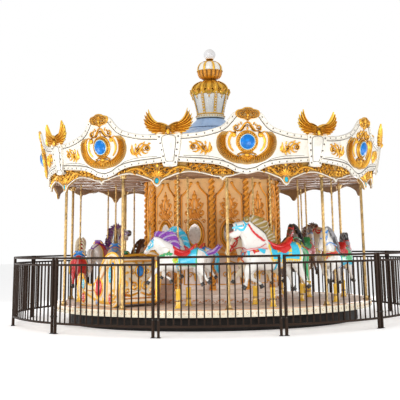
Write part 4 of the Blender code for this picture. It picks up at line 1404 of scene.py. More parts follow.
def build_drum(palette):
    palette = dict(palette, mirror=mirror_glass(),
                   dado=paint("drum_dado_paint", (0.86, 0.72, 0.62), 0.35, 0.2))
    body = Form()
    foot = [
        (0, DRUM_LOW),
        (DRUM_FOOT, DRUM_LOW),
        (DRUM_FOOT, 0.40),
        (DRUM_FOOT - 0.015, 0.42),
        (DRUM_FOOT - 0.015, 0.47),
        (DRUM_FOOT - 0.04, 0.49),
        (DRUM_FOOT - 0.055, 0.54),
        (DRUM_CORNER, 0.56),
        (DRUM_CORNER, DADO_TOP),
        (0, DADO_TOP),
    ]
    wall = [(0, DADO_TOP), (DRUM_CORNER, DADO_TOP), (DRUM_CORNER, 2.56), (DRUM_FOOT - 0.02, 2.585),
            (DRUM_FOOT, 2.60)]
    wall += [(DRUM_FOOT, DRUM_HIGH), (0, DRUM_HIGH)]
    body.add(turned_form(foot, DRUM_SIDES), "dado")
    body.add(turned_form(wall, DRUM_SIDES), "panel")
    mast = [(0, 2.60), (0.12, 2.60), (0.12, 3.25), (0, 3.25)]
    body.add(turned_form(mast, 24), "dark")
    add_piece("drum_body", body.mesh("drum_body", palette, 20), "base", ["center_drum"])
    relief = Form()
    relief.take(drum_relief(), on_flat(DRUM_FACE))
    ring_pieces("drum_relief", relief, DRUM_SIDES, FIRST_DRUM_PANEL, "base", palette)
    trim = Form()
    distance = DRUM_FOOT * math.cos(math.radians(15))
    half = distance * math.tan(math.radians(15)) - 0.01
    running_scroll(trim, -half, half, 0.365, 0.063, 6, "bronze", 0.005, 0.008)
    flat, trim = trim, Form()
    trim.take(flat, on_flat(distance))
    ring_pieces("drum_trim", trim, DRUM_SIDES, FIRST_DRUM_PANEL, "base", palette)
    column = twisted_rod("column", 0.060, 0.60, 2.585, 10.0, 0.24, 80, 10, palette["rope"])
    column.transform(Matrix.Translation((0, -COLUMN_CIRCLE, 0)))
    ring = (ring_tree(), ring_values(DRUM_SIDES, FIRST_COLUMN, palette["rope"]))
    add_piece("drum_columns", grown("drum_columns", [ring], column), "base")
    caps = Form()
    base = [(0, 0.545), (0.062, 0.545), (0.064, 0.565), (0.056, 0.575), (0.060, 0.60), (0.05, 0.62),
            (0, 0.62)]
    caps.add(turned_form(base, 20, (0, -COLUMN_CIRCLE, 0)), "bronze")
    ring_pieces("column_caps", caps, DRUM_SIDES, FIRST_COLUMN, "base", palette)


# Rounding boards and valance

# Right half of a board, from its middle: (across, up the slope)
BOARD_TOP = ((0.227, 0.963), (0.321, 0.843), (0.417, 0.758), (0.610, 0.693), (0.811, 0.657),
             (1.128, 0.640))
BOARD_FOOT = ((0.0, 0.0), (0.171, 0.039), (0.317, 0.110), (0.543, 0.165), (1.128, 0.214))
BORDER = 0.062
CREST_TIP = 1.005


def edge_height(edge, u):
    across, up = zip(*edge)
    return np.interp(u, across, up)


def board_sheet():
    """Ivory ground of a board: a grid of strips between its two edges, as (across, up, out)."""
    form = Form()
    across = np.unique(np.concatenate([np.linspace(0, 0.227, 5), np.linspace(0.227, 0.417, 7),
                                       np.linspace(0.417, 1.128, 13)]))
    across = np.concatenate([-across[:0:-1], across])
    smooth_top = smooth_rows([(0, CREST_TIP), (0.10, 1.0), *BOARD_TOP], 4)
    smooth_foot = smooth_rows(BOARD_FOOT, 4)
    rows = []
    shares = np.linspace(0, 1, 9)
    for u in across:
        low, high = edge_height(smooth_foot, abs(u)), edge_height(smooth_top, abs(u))
        rows.append(np.array([(u, low + (high - low) * share, 0.0) for share in shares]))
    front = np.concatenate(rows)
    back = front - (0, 0, 0.028)
    count, columns = len(front), len(shares)
    faces = []
    for i in range(len(across) - 1):
        for j in range(columns - 1):
            a = i * columns + j
            faces.append((a, a + columns, a + columns + 1, a + 1))
            faces.append((count + a, count + a + 1, count + a + columns + 1, count + a + columns))
    rim = list(range(columns))
    rim += [i * columns + columns - 1 for i in range(1, len(across))]
    rim += [(len(across) - 1) * columns + j for j in range(columns - 2, -1, -1)]
    rim += [i * columns for i in range(len(across) - 2, 0, -1)]
    for a, b in zip(rim, rim[1:] + rim[:1]):
        faces.append((a, b, count + b, count + a))
    form.add((np.concatenate([front, back]), faces), "ivory")
    return form


def inset(edge, depth):
    """The edge moved along the normal by a depth, upwards for a positive one."""
    points = np.array(edge, float)
    way = np.gradient(points, axis=0)
    way /= np.linalg.norm(way, axis=1)[:, None]
    return points + np.stack([-way[:, 1], way[:, 0]], 1) * depth


def along_edge(edge, step, start):
    """Evenly spaced points along an edge."""
    points = np.array(edge, float)
    run = np.concatenate([[0], np.cumsum(np.linalg.norm(np.diff(points, axis=0), axis=1))])
    wanted = np.arange(start, run[-1], step)
    return np.stack([np.interp(wanted, run, points[:, 0]), np.interp(wanted, run, points[:, 1])], 1)


def board_border(form):
    """Raised border with its pin line and rivets along the top and the foot."""
    top = smooth_rows(BOARD_TOP, 3)
    foot = smooth_rows(BOARD_FOOT, 3)
    for edge, side in ((top, -1), (foot, 1)):
        middle = inset(edge, side * BORDER / 2)
        form.both(stroke(inset(edge, side * 0.010), (0.010, 0.010), 0.012, 1, 5), "ivory")
        form.both(stroke(inset(edge, side * BORDER), (0.009, 0.009), 0.011, 1, 5), "ivory")
        form.both(stroke(inset(edge, side * (BORDER + 0.015)), (0.0060, 0.0060), 0.0055, 1, 5), "line")
        for u, v in along_edge(middle, 0.13, 0.06):
            form.both(dome((u, v), sizes().rivet * 1.35, 0.003, 8, 1), "ivory")
            form.both(dome((u, v), sizes().rivet, 0.008, 7, 2, out=0.001), "rivet")
    engraved = smooth_rows([(0.345, 0.205), (0.42, 0.245), (0.599, 0.285), (0.80, 0.300), (1.0, 0.305)],
                           4)
    form.both(stroke(engraved, (0.0035, 0.0035), 0.004, 1, 5), "line")


def ground(form, right, height=0.010, finish="shade_gold"):
    """Dark gold plate with this right half, mirrored across the middle, under a cluster of relief: painted
    shade in the gaps between its strokes.
    """
    right = np.array(right, float)
    form.add(slab(np.concatenate([right, right[-2:0:-1] * (-1, 1)]), 0.0, height), finish)


def board_crest(form):
    """Crest on the peak: two volutes under a rolled top, with a fan and a drop between them."""
    edge = [(0.0, 0.838), (0.050, 0.872), (0.110, 0.882), (0.165, 0.905), (0.186, 0.950), (0.168, 0.990),
            (0.120, 1.004)]
    edge += [(0.085, 1.012), (0.050, 1.034), (0.0, 1.040)]
    edge = smooth_rows(edge, 3)
    ground(form, edge, 0.014)
    form.both(stroke(edge[5:], (0.010, 0.015, 0.015, 0.012), 0.026, 1, 5))
    form.both(stroke(edge[:8], (0.012, 0.014, 0.012), 0.024, 1, 5))
    form.both(spiral((0.090, 0.952), 0.056, 250, 1.25, 0.0165, 0.030))
    form.both(leaf((0.150, 0.925), (0.165, 0.985), 0.014, 0.024, 0.1))
    fan(form, (0, 22, 45), (0.012, 0.935), (0.105, 0.935, 0.112), (0.0185, 0.030, 0.04))
    form.add(dome((0, 0.925), 0.026, 0.036, 12, 3))
    form.add(leaf((0, 0.915), (0, 0.840), 0.022, 0.028, 0.0))
    form.both(leaf((0.018, 0.905), (0.070, 0.868), 0.017, 0.026, 0.18))
    form.both(dome((0.090, 0.952), 0.013, 0.034, 8, 3))


def feather_horseshoe(form):
    """Ring of overlapping feathers round the gem, open at the top, with a shell at its foot."""
    heart = (0.0, 0.510)
    inner = [(0.298, 0.668), (0.345, 0.590), (0.352, 0.494), (0.328, 0.405), (0.248, 0.322),
             (0.120, 0.262), (0.0, 0.235)]
    outer = [(0.395, 0.668), (0.462, 0.590), (0.488, 0.497), (0.460, 0.375), (0.370, 0.262),
             (0.215, 0.182), (0.0, 0.158)]
    inner, outer = smooth_rows(inner, 4), smooth_rows(outer, 4)
    # dark plate under the feathers: painted shade between them
    form.both(slab(np.concatenate([outer, inner[::-1]]), 0.0, 0.012), "shade_gold")
    form.both(stroke(inner, (0.010, 0.015, 0.015, 0.010), 0.026, 1, 5))
    count = 24
    for i in range(count):
        share = (i + 0.1) / (count + 2.5)
        k = share * (len(inner) - 1)
        root = [np.interp(k, range(len(inner)), inner[:, j]) for j in (0, 1)]
        k = min(1.0, share + 0.13) * (len(outer) - 1)
        tip = [np.interp(k, range(len(outer)), outer[:, j]) for j in (0, 1)]
        form.both(leaf(root, tip, 0.0142, 0.036, -0.16, 1), "leaf")
    form.both(stroke(outer[:6], (0.006, 0.010, 0.010), 0.020, 1, 5))
    crescent = smooth_rows([(0.285, 0.672), (0.232, 0.640), (0.262, 0.600), (0.290, 0.520),
                            (0.270, 0.430), (0.215, 0.360)], 4)
    form.both(stroke(crescent, (0.010, 0.019, 0.022, 0.020, 0.012), 0.026, 1, 5))
    # shell at the foot
    ground(form, [(0.0, 0.150), (0.06, 0.158), (0.12, 0.190), (0.150, 0.240), (0.10, 0.300),
                  (0.0, 0.330)], 0.016)
    form.add(dome((0, 0.300), 0.040, 0.040, 12, 3, 0.8))
    fan(form, (0, 17, 34, 51, 68), (0.02, 0.295), (0.158, 0.295, -0.130), (0.0215, 0.030, 0.03))
    form.both(spiral((0.158, 0.268), 0.052, 100, 1.2, 0.016, 0.030))
    form.both(stroke([(0.0, 0.330), (0.07, 0.335), (0.125, 0.322)], (0.014, 0.017, 0.010), 0.028, 3))
    # gem in a wide gold ring
    form.add(slab(oval(heart, 0.178, 0.178, 36), 0.0, 0.014), "gold")
    form.add(oval_frame(heart, 0.165, 0.165, 0.014, 0.026))
    form.add(oval_frame(heart, 0.128, 0.128, 0.012, 0.034))
    for u, v in oval(heart, 0.146, 0.146, 26):
        form.add(dome((u, v), 0.0095, 0.026, 6, 2))
    # cradle of scrolls over the gem
    for rise, wide in ((0.0, 0.017), (-0.042, 0.010)):
        cradle = [(0.0, 0.815 + rise), (0.040, 0.790 + rise), (0.078, 0.738 + rise),
                  (0.118, 0.688 + rise / 3), (0.170, 0.672)]
        form.both(stroke(cradle, (wide * 0.8, wide, wide, wide * 0.7), 0.026, 4))
    form.both(spiral((0.178, 0.728), 0.052, 270, 1.3, 0.016, 0.028))
    form.both(dome((0.212, 0.615), 0.040, 0.034, 12, 4))
    form.both(spiral((0.212, 0.615), 0.052, 130, -0.7, 0.010, 0.022))
    form.both(leaf((0.10, 0.770), (0.125, 0.820), 0.014, 0.022, 0.2))
    form.both(dome((0.135, 0.775), 0.018, 0.022, 8, 3))
    form.add(leaf((0, 0.690), (0, 0.760), 0.018, 0.022, 0.0))


def gem_stone(form):
    """Polished stone: a girdle, a low crown and a pale ring where it meets the gold."""
    levels = ((0.118, 0.0), (0.118, 0.040), (0.106, 0.056), (0.075, 0.070), (0.035, 0.077), (0.0, 0.079))
    turn = np.linspace(0, 2 * np.pi, 32, endpoint=False)
    rows = [np.stack([r * np.cos(turn), 0.510 + r * np.sin(turn), turn * 0 + out], 1)
            for r, out in levels]
    form.add((np.concatenate(rows), ring_faces(len(rows), 32)), "gem")
    form.add(oval_frame((0.0, 0.510), 0.119, 0.119, 0.006, 0.006, 6, 0.042), "pale")


def board_filigree(form):
    """Scrollwork on each side of the board, drawn large and then brought in to its size."""
    full = Form()
    full.both(leaf((0.580, 0.335), (0.566, 0.528), 0.030, 0.026, 0.06))
    full.both(leaf((0.592, 0.340), (0.632, 0.485), 0.022, 0.022, -0.12))
    full.both(leaf((0.564, 0.340), (0.528, 0.450), 0.020, 0.022, 0.12))
    full.both(dome((0.580, 0.345), 0.022, 0.026, 8, 3))
    main = [(0.560, 0.352), (0.625, 0.342), (0.685, 0.372), (0.738, 0.430), (0.800, 0.492),
            (0.870, 0.500), (0.915, 0.455)]
    full.both(stroke(main, (0.012, 0.020, 0.024, 0.022, 0.019, 0.015), 0.026, 4, 5))
    full.both(spiral((0.866, 0.440), 0.056, 25, -1.35, 0.017, 0.026))
    full.both(spiral((0.672, 0.430), 0.046, 250, 1.25, 0.016, 0.024))
    full.both(stroke([(0.740, 0.430), (0.765, 0.378), (0.815, 0.348), (0.880, 0.360)],
                     (0.014, 0.019, 0.014, 0.005), 0.022, 4))
    full.both(stroke([(0.690, 0.475), (0.735, 0.520), (0.795, 0.540)], (0.006, 0.017, 0.006), 0.020, 4))
    for root, tip, bow in (
        ((0.640, 0.350), (0.655, 0.282), -0.2),
        ((0.700, 0.375), (0.740, 0.308), -0.2),
        ((0.770, 0.445), (0.820, 0.402), -0.2),
        ((0.800, 0.495), (0.845, 0.566), 0.2),
        ((0.730, 0.425), (0.700, 0.512), 0.2),
        ((0.890, 0.500), (0.955, 0.525), 0.2),
        ((0.640, 0.480), (0.655, 0.545), 0.1),
    ):
        full.both(leaf(root, tip, 0.019, 0.022, bow))
    full.both(dome((0.866, 0.440), 0.018, 0.028, 8, 3))
    full.both(dome((0.672, 0.430), 0.015, 0.024, 8, 3))
    middle, size = np.array((0.745, 0.425)), 0.86

    def smaller(points):
        side = np.sign(points[:, :1])
        across = side * (middle[0] + (abs(points[:, :1]) - middle[0]) * size)
        return np.hstack([across, middle[1] + (points[:, 1:2] - middle[1]) * size, points[:, 2:]])

    form.take(full, smaller)


def shield_relief():
    """Cream shield over the joint of two boards, with two spread wings on top."""
    form = Form()
    outline = [(0.0, 0.146), (0.098, 0.160), (0.110, 0.215), (0.128, 0.290), (0.150, 0.385),
               (0.172, 0.520), (0.186, 0.640)]
    outline += [(0.172, 0.668), (0.10, 0.672), (0.0, 0.690)]
    right = smooth_rows(outline, 3)
    ring = np.concatenate([right, right[-2:0:-1] * (-1, 1)])
    form.add(slab(ring, 0.0, 0.036, 0.006), "shield")
    closed = np.concatenate([ring, ring[:1]])
    form.add(tube([(u, v, 0.034, 0.008, 0.008) for u, v in closed], 6, (0, 0, 1)), "shield")
    heart = np.array((0, 0.43))
    small = [(0.0, 0.235), (0.055, 0.240), (0.070, 0.30), (0.090, 0.42), (0.108, 0.56), (0.085, 0.610),
             (0.0, 0.630)]
    small = smooth_rows(small, 3)
    small = np.concatenate([small, small[-2:0:-1] * (-1, 1)])
    form.add(slab(small, 0.030, 0.046, 0.010), "shield")
    closed = heart + (np.concatenate([small, small[:1]]) - heart) * 1.06
    form.add(tube([(u, v, 0.037, 0.0035, 0.0035) for u, v in closed], 5, (0, 0, 1)), "line")
    for u, v in ((0.088, 0.205), (0.104, 0.305), (0.122, 0.405), (0.140, 0.510), (0.153, 0.610)):
        form.both(dome((u, v), sizes().rivet * 1.2, 0.010, 8, 3, out=0.036), "rivet")
    for low, wide in ((0.150, 0.100), (0.172, 0.092)):
        form.add(stroke([(-wide, low), (0.0, low - 0.008), (wide, low)], (0.010, 0.010), 0.042, 4, 5),
                 "shield")
    add_wings(form)
    return form


# Right wing: its edge from the middle out over the tip and back, then the ends of its long feathers
WING_EDGE = (
    (0.0, 0.760), (0.055, 0.790), (0.130, 0.812), (0.225, 0.845), (0.272, 0.920), (0.312, 1.000),
    (0.350, 0.950), (0.372, 0.890), (0.362, 0.820), (0.320, 0.750), (0.270, 0.700), (0.200, 0.662),
    (0.090, 0.645), (0.0, 0.640),
)
FEATHER_TIPS = (
    (0.318, 1.048), (0.352, 1.012), (0.382, 0.962), (0.398, 0.902), (0.396, 0.840), (0.374, 0.778),
    (0.336, 0.722), (0.284, 0.682), (0.222, 0.656),
)


def add_wings(form):
    """Pair of wings: long feathers run out from the middle and curl up, short ones lie over their roots."""
    # dark plate under the feathers of each wing: painted shade between them
    form.both(slab(smooth_rows(WING_EDGE, 3), 0.004, 0.020), "shade_gold")
    last = len(FEATHER_TIPS) - 1
    for i, tip in enumerate(FEATHER_TIPS):
        share = i / last
        root = np.array((0.052, 0.796 - 0.128 * share))
        tip = np.array(tip)
        bend = np.array((tip[0] * (0.90 - 0.10 * share), root[1] + 0.10 * (tip[1] - root[1])))
        path = [root * (1 - t) ** 2 + 2 * bend * t * (1 - t) + tip * t * t for t in np.linspace(0, 1, 7)]
        form.both(stroke(path, (0.009, 0.013, 0.0165, 0.0185, 0.004), 0.034, 2, 5,
                         0.010 + 0.006 * (i % 2)), "leaf")
    for i in range(7):
        share = i / 6
        root = np.array((0.030, 0.790 - 0.125 * share))
        tip = root + (0.125 - 0.02 * share, 0.024 * (1 - share))
        shape = leaf(root, tip, 0.0125, 0.024, -0.10, 1)
        form.both((shape[0] + (0, 0, 0.034), shape[1]), "leaf")
    form.both(stroke([(0.0, 0.770), (0.055, 0.802), (0.130, 0.828), (0.195, 0.838)],
                     (0.010, 0.013, 0.012, 0.005), 0.040, 3, 5, 0.010))
    form.add(dome((0, 0.690), 0.034, 0.060, 12, 3, 1.5, 0.020), "gold")
    form.both(stroke([(0.0, 0.652), (0.080, 0.656), (0.160, 0.662)], (0.013, 0.013, 0.006), 0.040, 4, 5,
                     0.010))


def build_boards(palette):
    palette = dict(
        palette,
        shield=paint("shield_paint", shade(colours().ivory, 1.04)),
        pale=paint("gem_rim_paint", (0.45, 0.70, 0.72), 0.2),
    )
    board = Form()
    board.take(board_sheet(), lambda points: points)
    board_border(board)
    board_crest(board)
    feather_horseshoe(board)
    gem_stone(board)
    board_filigree(board)
    bent = Form()
    bent.take(board, on_cone)
    nodes = [f"rounding_board_{i + 1:02d}" for i in range(BOARDS)]
    ring_pieces("boards", bent, BOARDS, FIRST_BOARD, "turntable", palette, nodes)
    corner = Form()
    corner.take(shield_relief(), on_cone)
    ring_pieces("shields", corner, BOARDS, FIRST_CORNER, "turntable", palette)


VALANCE_HALF = 1.044
VALANCE_FOOT = ((0.0, 2.206), (0.040, 2.228), (0.080, 2.285), (0.125, 2.318), (0.20, 2.345),
                (0.285, 2.378), (0.375, 2.402))
VALANCE_FOOT += ((0.508, 2.420), (0.65, 2.408), (0.80, 2.375), (0.93, 2.340), (0.985, 2.335),
                 (1.020, 2.318), (VALANCE_HALF, 2.282))
VALANCE_TOP = 2.612


def build_valance(palette):
    """Hanging edge under the boards: a back wall, gilded scrolls, a cream rim, a stone in each pendant."""
    edge = smooth_rows(VALANCE_FOOT, 4)
    wall = Form()
    across = np.concatenate([-edge[:0:-1, 0], edge[:, 0]])
    foot = np.concatenate([edge[:0:-1, 1], edge[:, 1]])
    front = [(u, v, 0.0) for u, v in zip(across, foot)] + [(u, VALANCE_TOP, 0.0) for u in across]
    count = len(across)
    points = np.concatenate([front, np.array(front) - (0, 0, 0.026)])
    faces, sides = [], []
    for i in range(count - 1):
        faces.append((i, i + 1, count + i + 1, count + i))
        sides.append((2 * count + i, 3 * count + i, 3 * count + i + 1, 2 * count + i + 1))
        sides.append((i, 2 * count + i, 2 * count + i + 1, i + 1))
        sides.append((count + i, count + i + 1, 3 * count + i + 1, 3 * count + i))
    # the wall's dark gold is painted shade in the gaps between the scrolls
    wall.add((points, faces + sides), "shade_gold")
    inside = [(u, v, -0.026) for u, v in zip(across, foot)] + [(u, VALANCE_TOP, -0.026) for u in across]
    lining = np.concatenate([inside, np.array(inside) - (0, 0, 0.002)])
    wall.add((lining, faces + sides), "back")
    relief = Form()
    relief.both(stroke(inset(edge, 0.011), (0.011, 0.011), 0.018, 1, 5), "ivory")
    relief.add(slab(oval((0, 2.298), 0.058, 0.070, 20), 0.0, 0.010), "ivory")
    relief.add(oval_frame((0, 2.300), 0.044, 0.054, 0.011, 0.024))
    relief.add(dome((0, 2.300), 0.037, 0.032, 14, 4, 1.25), "pendant")
    relief.add(leaf((0, 2.250), (0, 2.200), 0.024, 0.022, 0.0), "ivory")
    # leaves and volutes that spring from over the stone
    fan(relief, (0, 24, 50, 78), (0.02, 2.365), (0.150, 2.375, 0.125), (0.024, 0.026, 0.05))
    relief.both(spiral((0.105, 2.395), 0.046, 200, 1.2, 0.016, 0.026))
    main = [(0.10, 2.370), (0.17, 2.395), (0.235, 2.450), (0.31, 2.500), (0.40, 2.510), (0.48, 2.490),
            (0.55, 2.470)]
    relief.both(stroke(main, (0.014, 0.022, 0.024, 0.020, 0.014), 0.028, 4, 5))
    for u, v, size, start, way in (
        (0.255, 2.425, 0.040, 60, 1.2),
        (0.380, 2.455, 0.042, 250, 1.2),
        (0.505, 2.530, 0.036, 100, -1.2),
        (0.600, 2.470, 0.040, 60, 1.2),
        (0.705, 2.455, 0.038, 250, -1.2),
        (0.810, 2.440, 0.040, 60, 1.2),
        (0.905, 2.400, 0.036, 250, -1.2),
        (0.985, 2.400, 0.034, 60, 1.2),
    ):
        relief.both(spiral((u, v), size, start, way, 0.0155, 0.026))
        relief.both(leaf((u + 0.030, v - 0.020), (u + 0.088, v + 0.012), 0.019, 0.022, 0.25))
        relief.both(leaf((u - 0.010, v + 0.030), (u + 0.030, v + 0.082), 0.019, 0.022, -0.2))
        relief.both(leaf((u + 0.035, v + 0.020), (u + 0.085, v + 0.062), 0.016, 0.020, 0.2))
    for u, v, size, start, way in (
        (0.075, 2.480, 0.042, 30, 1.2),
        (0.175, 2.465, 0.046, 220, -1.2),
        (0.255, 2.535, 0.040, 60, 1.2),
        (0.060, 2.570, 0.036, 150, -1.2),
        (0.155, 2.570, 0.038, 330, 1.2),
        (0.640, 2.555, 0.040, 30, 1.2),
        (0.745, 2.545, 0.042, 200, -1.2),
        (0.850, 2.535, 0.042, 30, 1.2),
        (0.950, 2.500, 0.044, 200, -1.2),
    ):
        relief.both(spiral((u, v), size, start, way, 0.0165, 0.028))
        relief.both(leaf((u + 0.025, v - 0.025), (u + 0.075, v - 0.005), 0.019, 0.024, 0.25))
        relief.both(leaf((u - 0.015, v + 0.020), (u + 0.015, v + 0.070), 0.019, 0.024, -0.2))
    relief.add(leaf((0, 2.510), (0, 2.600), 0.024, 0.024, 0.0))
    for middle in (-VALANCE_HALF, VALANCE_HALF):
        half = middle - math.copysign(0.05, middle)
        relief.add(leaf((half, 2.345), (middle - math.copysign(0.004, middle), 2.300), 0.014, 0.020, 0.0),
                   "ivory")
    palette = dict(palette, back=paint("valance_back", (0.30, 0.165, 0.06), 0.45, 0.1))
    bend = on_drum(VALANCE_FACE)
    bent = Form()
    bent.take(wall, bend)
    ring_pieces("valance_wall", bent, VALANCE_REPEATS, FIRST_PENDANT, "turntable", palette, ["valance"])
    bent = Form()
    bent.take(relief, bend)
    ring_pieces("valance_relief", bent, VALANCE_REPEATS, FIRST_PENDANT, "turntable", palette)


# Horses, each carved round its pole and heading along +X in its own frame

# Stations of the carving: forward, height, half width, half height
BODY = (
    (-0.475, 1.105, 0.030, 0.045),
    (-0.445, 1.105, 0.090, 0.105),
    (-0.37, 1.105, 0.135, 0.150),
    (-0.27, 1.10, 0.150, 0.156),
    (-0.14, 1.065, 0.135, 0.140),
    (-0.02, 1.05, 0.140, 0.142),
    (0.09, 1.055, 0.146, 0.155),
    (0.19, 1.08, 0.140, 0.167),
    (0.265, 1.10, 0.114, 0.147),
    (0.315, 1.115, 0.062, 0.092),
)
NECK = (
    (0.10, 1.12, 0.092, 0.135),
    (0.19, 1.235, 0.082, 0.142),
    (0.245, 1.345, 0.066, 0.138),
    (0.285, 1.435, 0.054, 0.106),
    (0.33, 1.49, 0.048, 0.075),
    (0.375, 1.49, 0.042, 0.052),
)
HEAD = (
    (0.325, 1.475, 0.040, 0.055),
    (0.365, 1.465, 0.054, 0.075),
    (0.405, 1.415, 0.055, 0.075),
    (0.445, 1.36, 0.048, 0.068),
    (0.485, 1.305, 0.042, 0.058),
    (0.520, 1.262, 0.040, 0.053),
    (0.548, 1.228, 0.038, 0.047),
    (0.565, 1.203, 0.024, 0.032),
)
# Each leg: its side, then its stations from the body down
LEGS = (
    (
        0.078,
        (
            (0.19, 1.06, 0.078, 0.100),
            (0.235, 0.985, 0.058, 0.076),
            (0.30, 0.93, 0.040, 0.050),
            (0.365, 0.893, 0.033, 0.038),
            (0.395, 0.845, 0.022, 0.027),
            (0.425, 0.80, 0.020, 0.023),
            (0.452, 0.765, 0.026, 0.028),
            (0.465, 0.748, 0.026, 0.028),
        ),
    ),
    (
        -0.078,
        (
            (0.17, 1.06, 0.078, 0.100),
            (0.205, 0.965, 0.058, 0.076),
            (0.245, 0.90, 0.040, 0.050),
            (0.265, 0.850, 0.033, 0.038),
            (0.225, 0.822, 0.022, 0.027),
            (0.180, 0.800, 0.020, 0.023),
            (0.150, 0.775, 0.026, 0.028),
            (0.140, 0.755, 0.026, 0.028),
        ),
    ),
    (
        0.082,
        (
            (-0.33, 1.10, 0.084, 0.130),
            (-0.345, 1.01, 0.073, 0.110),
            (-0.385, 0.93, 0.050, 0.070),
            (-0.430, 0.870, 0.033, 0.042),
            (-0.455, 0.825, 0.023, 0.028),
            (-0.480, 0.785, 0.021, 0.024),
            (-0.508, 0.755, 0.027, 0.029),
            (-0.520, 0.742, 0.027, 0.029),
        ),
    ),
    (
        -0.082,
        (
            (-0.31, 1.10, 0.084, 0.130),
            (-0.285, 1.00, 0.073, 0.110),
            (-0.295, 0.915, 0.050, 0.070),
            (-0.335, 0.850, 0.033, 0.042),
            (-0.345, 0.800, 0.023, 0.028),
            (-0.352, 0.755, 0.021, 0.024),
            (-0.368, 0.722, 0.027, 0.029),
            (-0.376, 0.708, 0.027, 0.029),
        ),
    ),
)
EAR = ((0.33, 0.030, 1.50, 0.018, 0.022), (0.325, 0.034, 1.53, 0.017, 0.020))
EAR += ((0.322, 0.040, 1.575, 0.010, 0.012), (0.322, 0.043, 1.595, 0.003, 0.004))
CHEEK = ((0.395, 0.022, 1.36, 0.010, 0.012), (0.395, 0.026, 1.385, 0.030, 0.040))
CHEEK += ((0.392, 0.026, 1.42, 0.030, 0.040), (0.39, 0.022, 1.445, 0.010, 0.012))
HAUNCH = ((-0.46, 0.050, 1.10, 0.020, 0.03), (-0.40, 0.070, 1.09, 0.080, 0.115))
HAUNCH += ((-0.30, 0.075, 1.06, 0.082, 0.120), (-0.22, 0.060, 1.03, 0.030, 0.05))
CREST = ((0.345, 1.550), (0.275, 1.545), (0.194, 1.490), (0.122, 1.407), (0.072, 1.315), (0.040, 1.245))
JAW = ((0.392, 1.370, 0.040, 0.042), (0.410, 1.313, 0.034, 0.030), (0.428, 1.256, 0.030, 0.022))
JAW += ((0.441, 1.213, 0.026, 0.017), (0.446, 1.199, 0.012, 0.008))
TONGUE = ((0.430, 1.330, 0.020, 0.030), (0.465, 1.270, 0.022, 0.035), (0.485, 1.225, 0.018, 0.028))
TAILS = {
    "streaming": ((-0.455, 1.150), (-0.520, 1.180), (-0.590, 1.200), (-0.650, 1.245), (-0.700, 1.315)),
    "arched": ((-0.455, 1.150), (-0.520, 1.195), (-0.600, 1.190), (-0.650, 1.110), (-0.665, 1.010),
               (-0.700, 0.930)),
    "hanging": ((-0.455, 1.150), (-0.505, 1.150), (-0.545, 1.080), (-0.535, 0.970), (-0.530, 0.880),
                (-0.555, 0.820)),
}
# Bearings: reach of the chest forward, growth and turn of the neck about its root, growth and turn
# of the head about the poll, longer legs. Turns are in degrees, and up is plus
BEARINGS = {
    "level": (0.0, 1.0, 0, 1.0, 0, 0.0),
    "bowed": (0.0, 0.82, -17, 0.88, 18, 0.0),
    "proud": (0.13, 1.0, 12, 0.92, 34, 0.085),
}
NECK_ROOT = (0.22, 1.15)
POLL = (0.36, 1.45)


def eased(share):
    """Share from 0 to 1 with a soft start and end."""
    share = np.clip(share, 0, 1)
    return share * share * (3 - 2 * share)


def turned_about(x, z, centre, angle, growth):
    turn = np.radians(angle)
    across, up = (x - centre[0]) * growth, (z - centre[1]) * growth
    x = centre[0] + across * np.cos(turn) - up * np.sin(turn)
    z = centre[1] + across * np.sin(turn) + up * np.cos(turn)
    return x, z


def posed(points, bearing):
    """Points of the level horse moved into a bearing."""
    reach, neck_growth, neck_turn, head_growth, head_turn, longer = BEARINGS[bearing]
    x, y, z = np.asarray(points).T
    past_root = (x - NECK_ROOT[0]) * 0.42 + (z - NECK_ROOT[1]) * 0.9
    on_neck = eased(past_root / 0.15) * eased((x - 0.04) / 0.10)
    past_poll = (x - POLL[0]) * 0.97 + (z - POLL[1]) * 0.23
    on_head = eased((past_poll + 0.04) / 0.08) * eased((z - 1.12) / 0.06)
    on_chest = eased((x - 0.08) / 0.17) * eased((z - 0.72) / 0.33)
    on_leg = eased((1.0 - z) / 0.22)
    growth = 1 + (head_growth - 1) * on_head
    x, z = turned_about(x, z, POLL, head_turn * on_head, growth)
    x, z = turned_about(x, z, NECK_ROOT, neck_turn * on_neck, 1 + (neck_growth - 1) * on_neck)
    return np.stack([x + reach * on_chest, y * growth, z - longer * on_leg], 1)


def mirrored(rows):
    return [(x, -y, z, *rest) for x, y, z, *rest in rows]


def carved_skin():
    """Trunk, neck, head, legs and ears fused into one smooth skin."""
    form = Form()
    for rows in (BODY, NECK, HEAD):
        form.add(tube(smooth_rows([(x, 0, z, wide, high) for x, z, wide, high in rows], 3), 20), "coat")
    for side, rows in LEGS:
        path = [(x, side * (0.8 if i == 0 else 1.0), z, wide, high)
                for i, (x, z, wide, high) in enumerate(rows)]
        form.add(tube(smooth_rows(path, 3), 14), "coat")
    for rows, steps in ((EAR, 1), (CHEEK, 2), (HAUNCH, 3)):
        for path in (rows, mirrored(rows)):
            form.add(tube(smooth_rows(path, steps), 10), "coat")
    piece = bpy.data.objects.new("skin", form.mesh("skin", {"coat": None}))
    bpy.context.scene.collection.objects.link(piece)
    fuse = piece.modifiers.new("Fuse", "REMESH")
    fuse.mode = "VOXEL"
    fuse.voxel_size = sizes().skin
    soften = piece.modifiers.new("Soften", "SMOOTH")
    soften.factor, soften.iterations = 0.5, 6
    thin = piece.modifiers.new("Thin", "DECIMATE")
    thin.ratio = 0.25
    return plain_mesh(piece, 180)


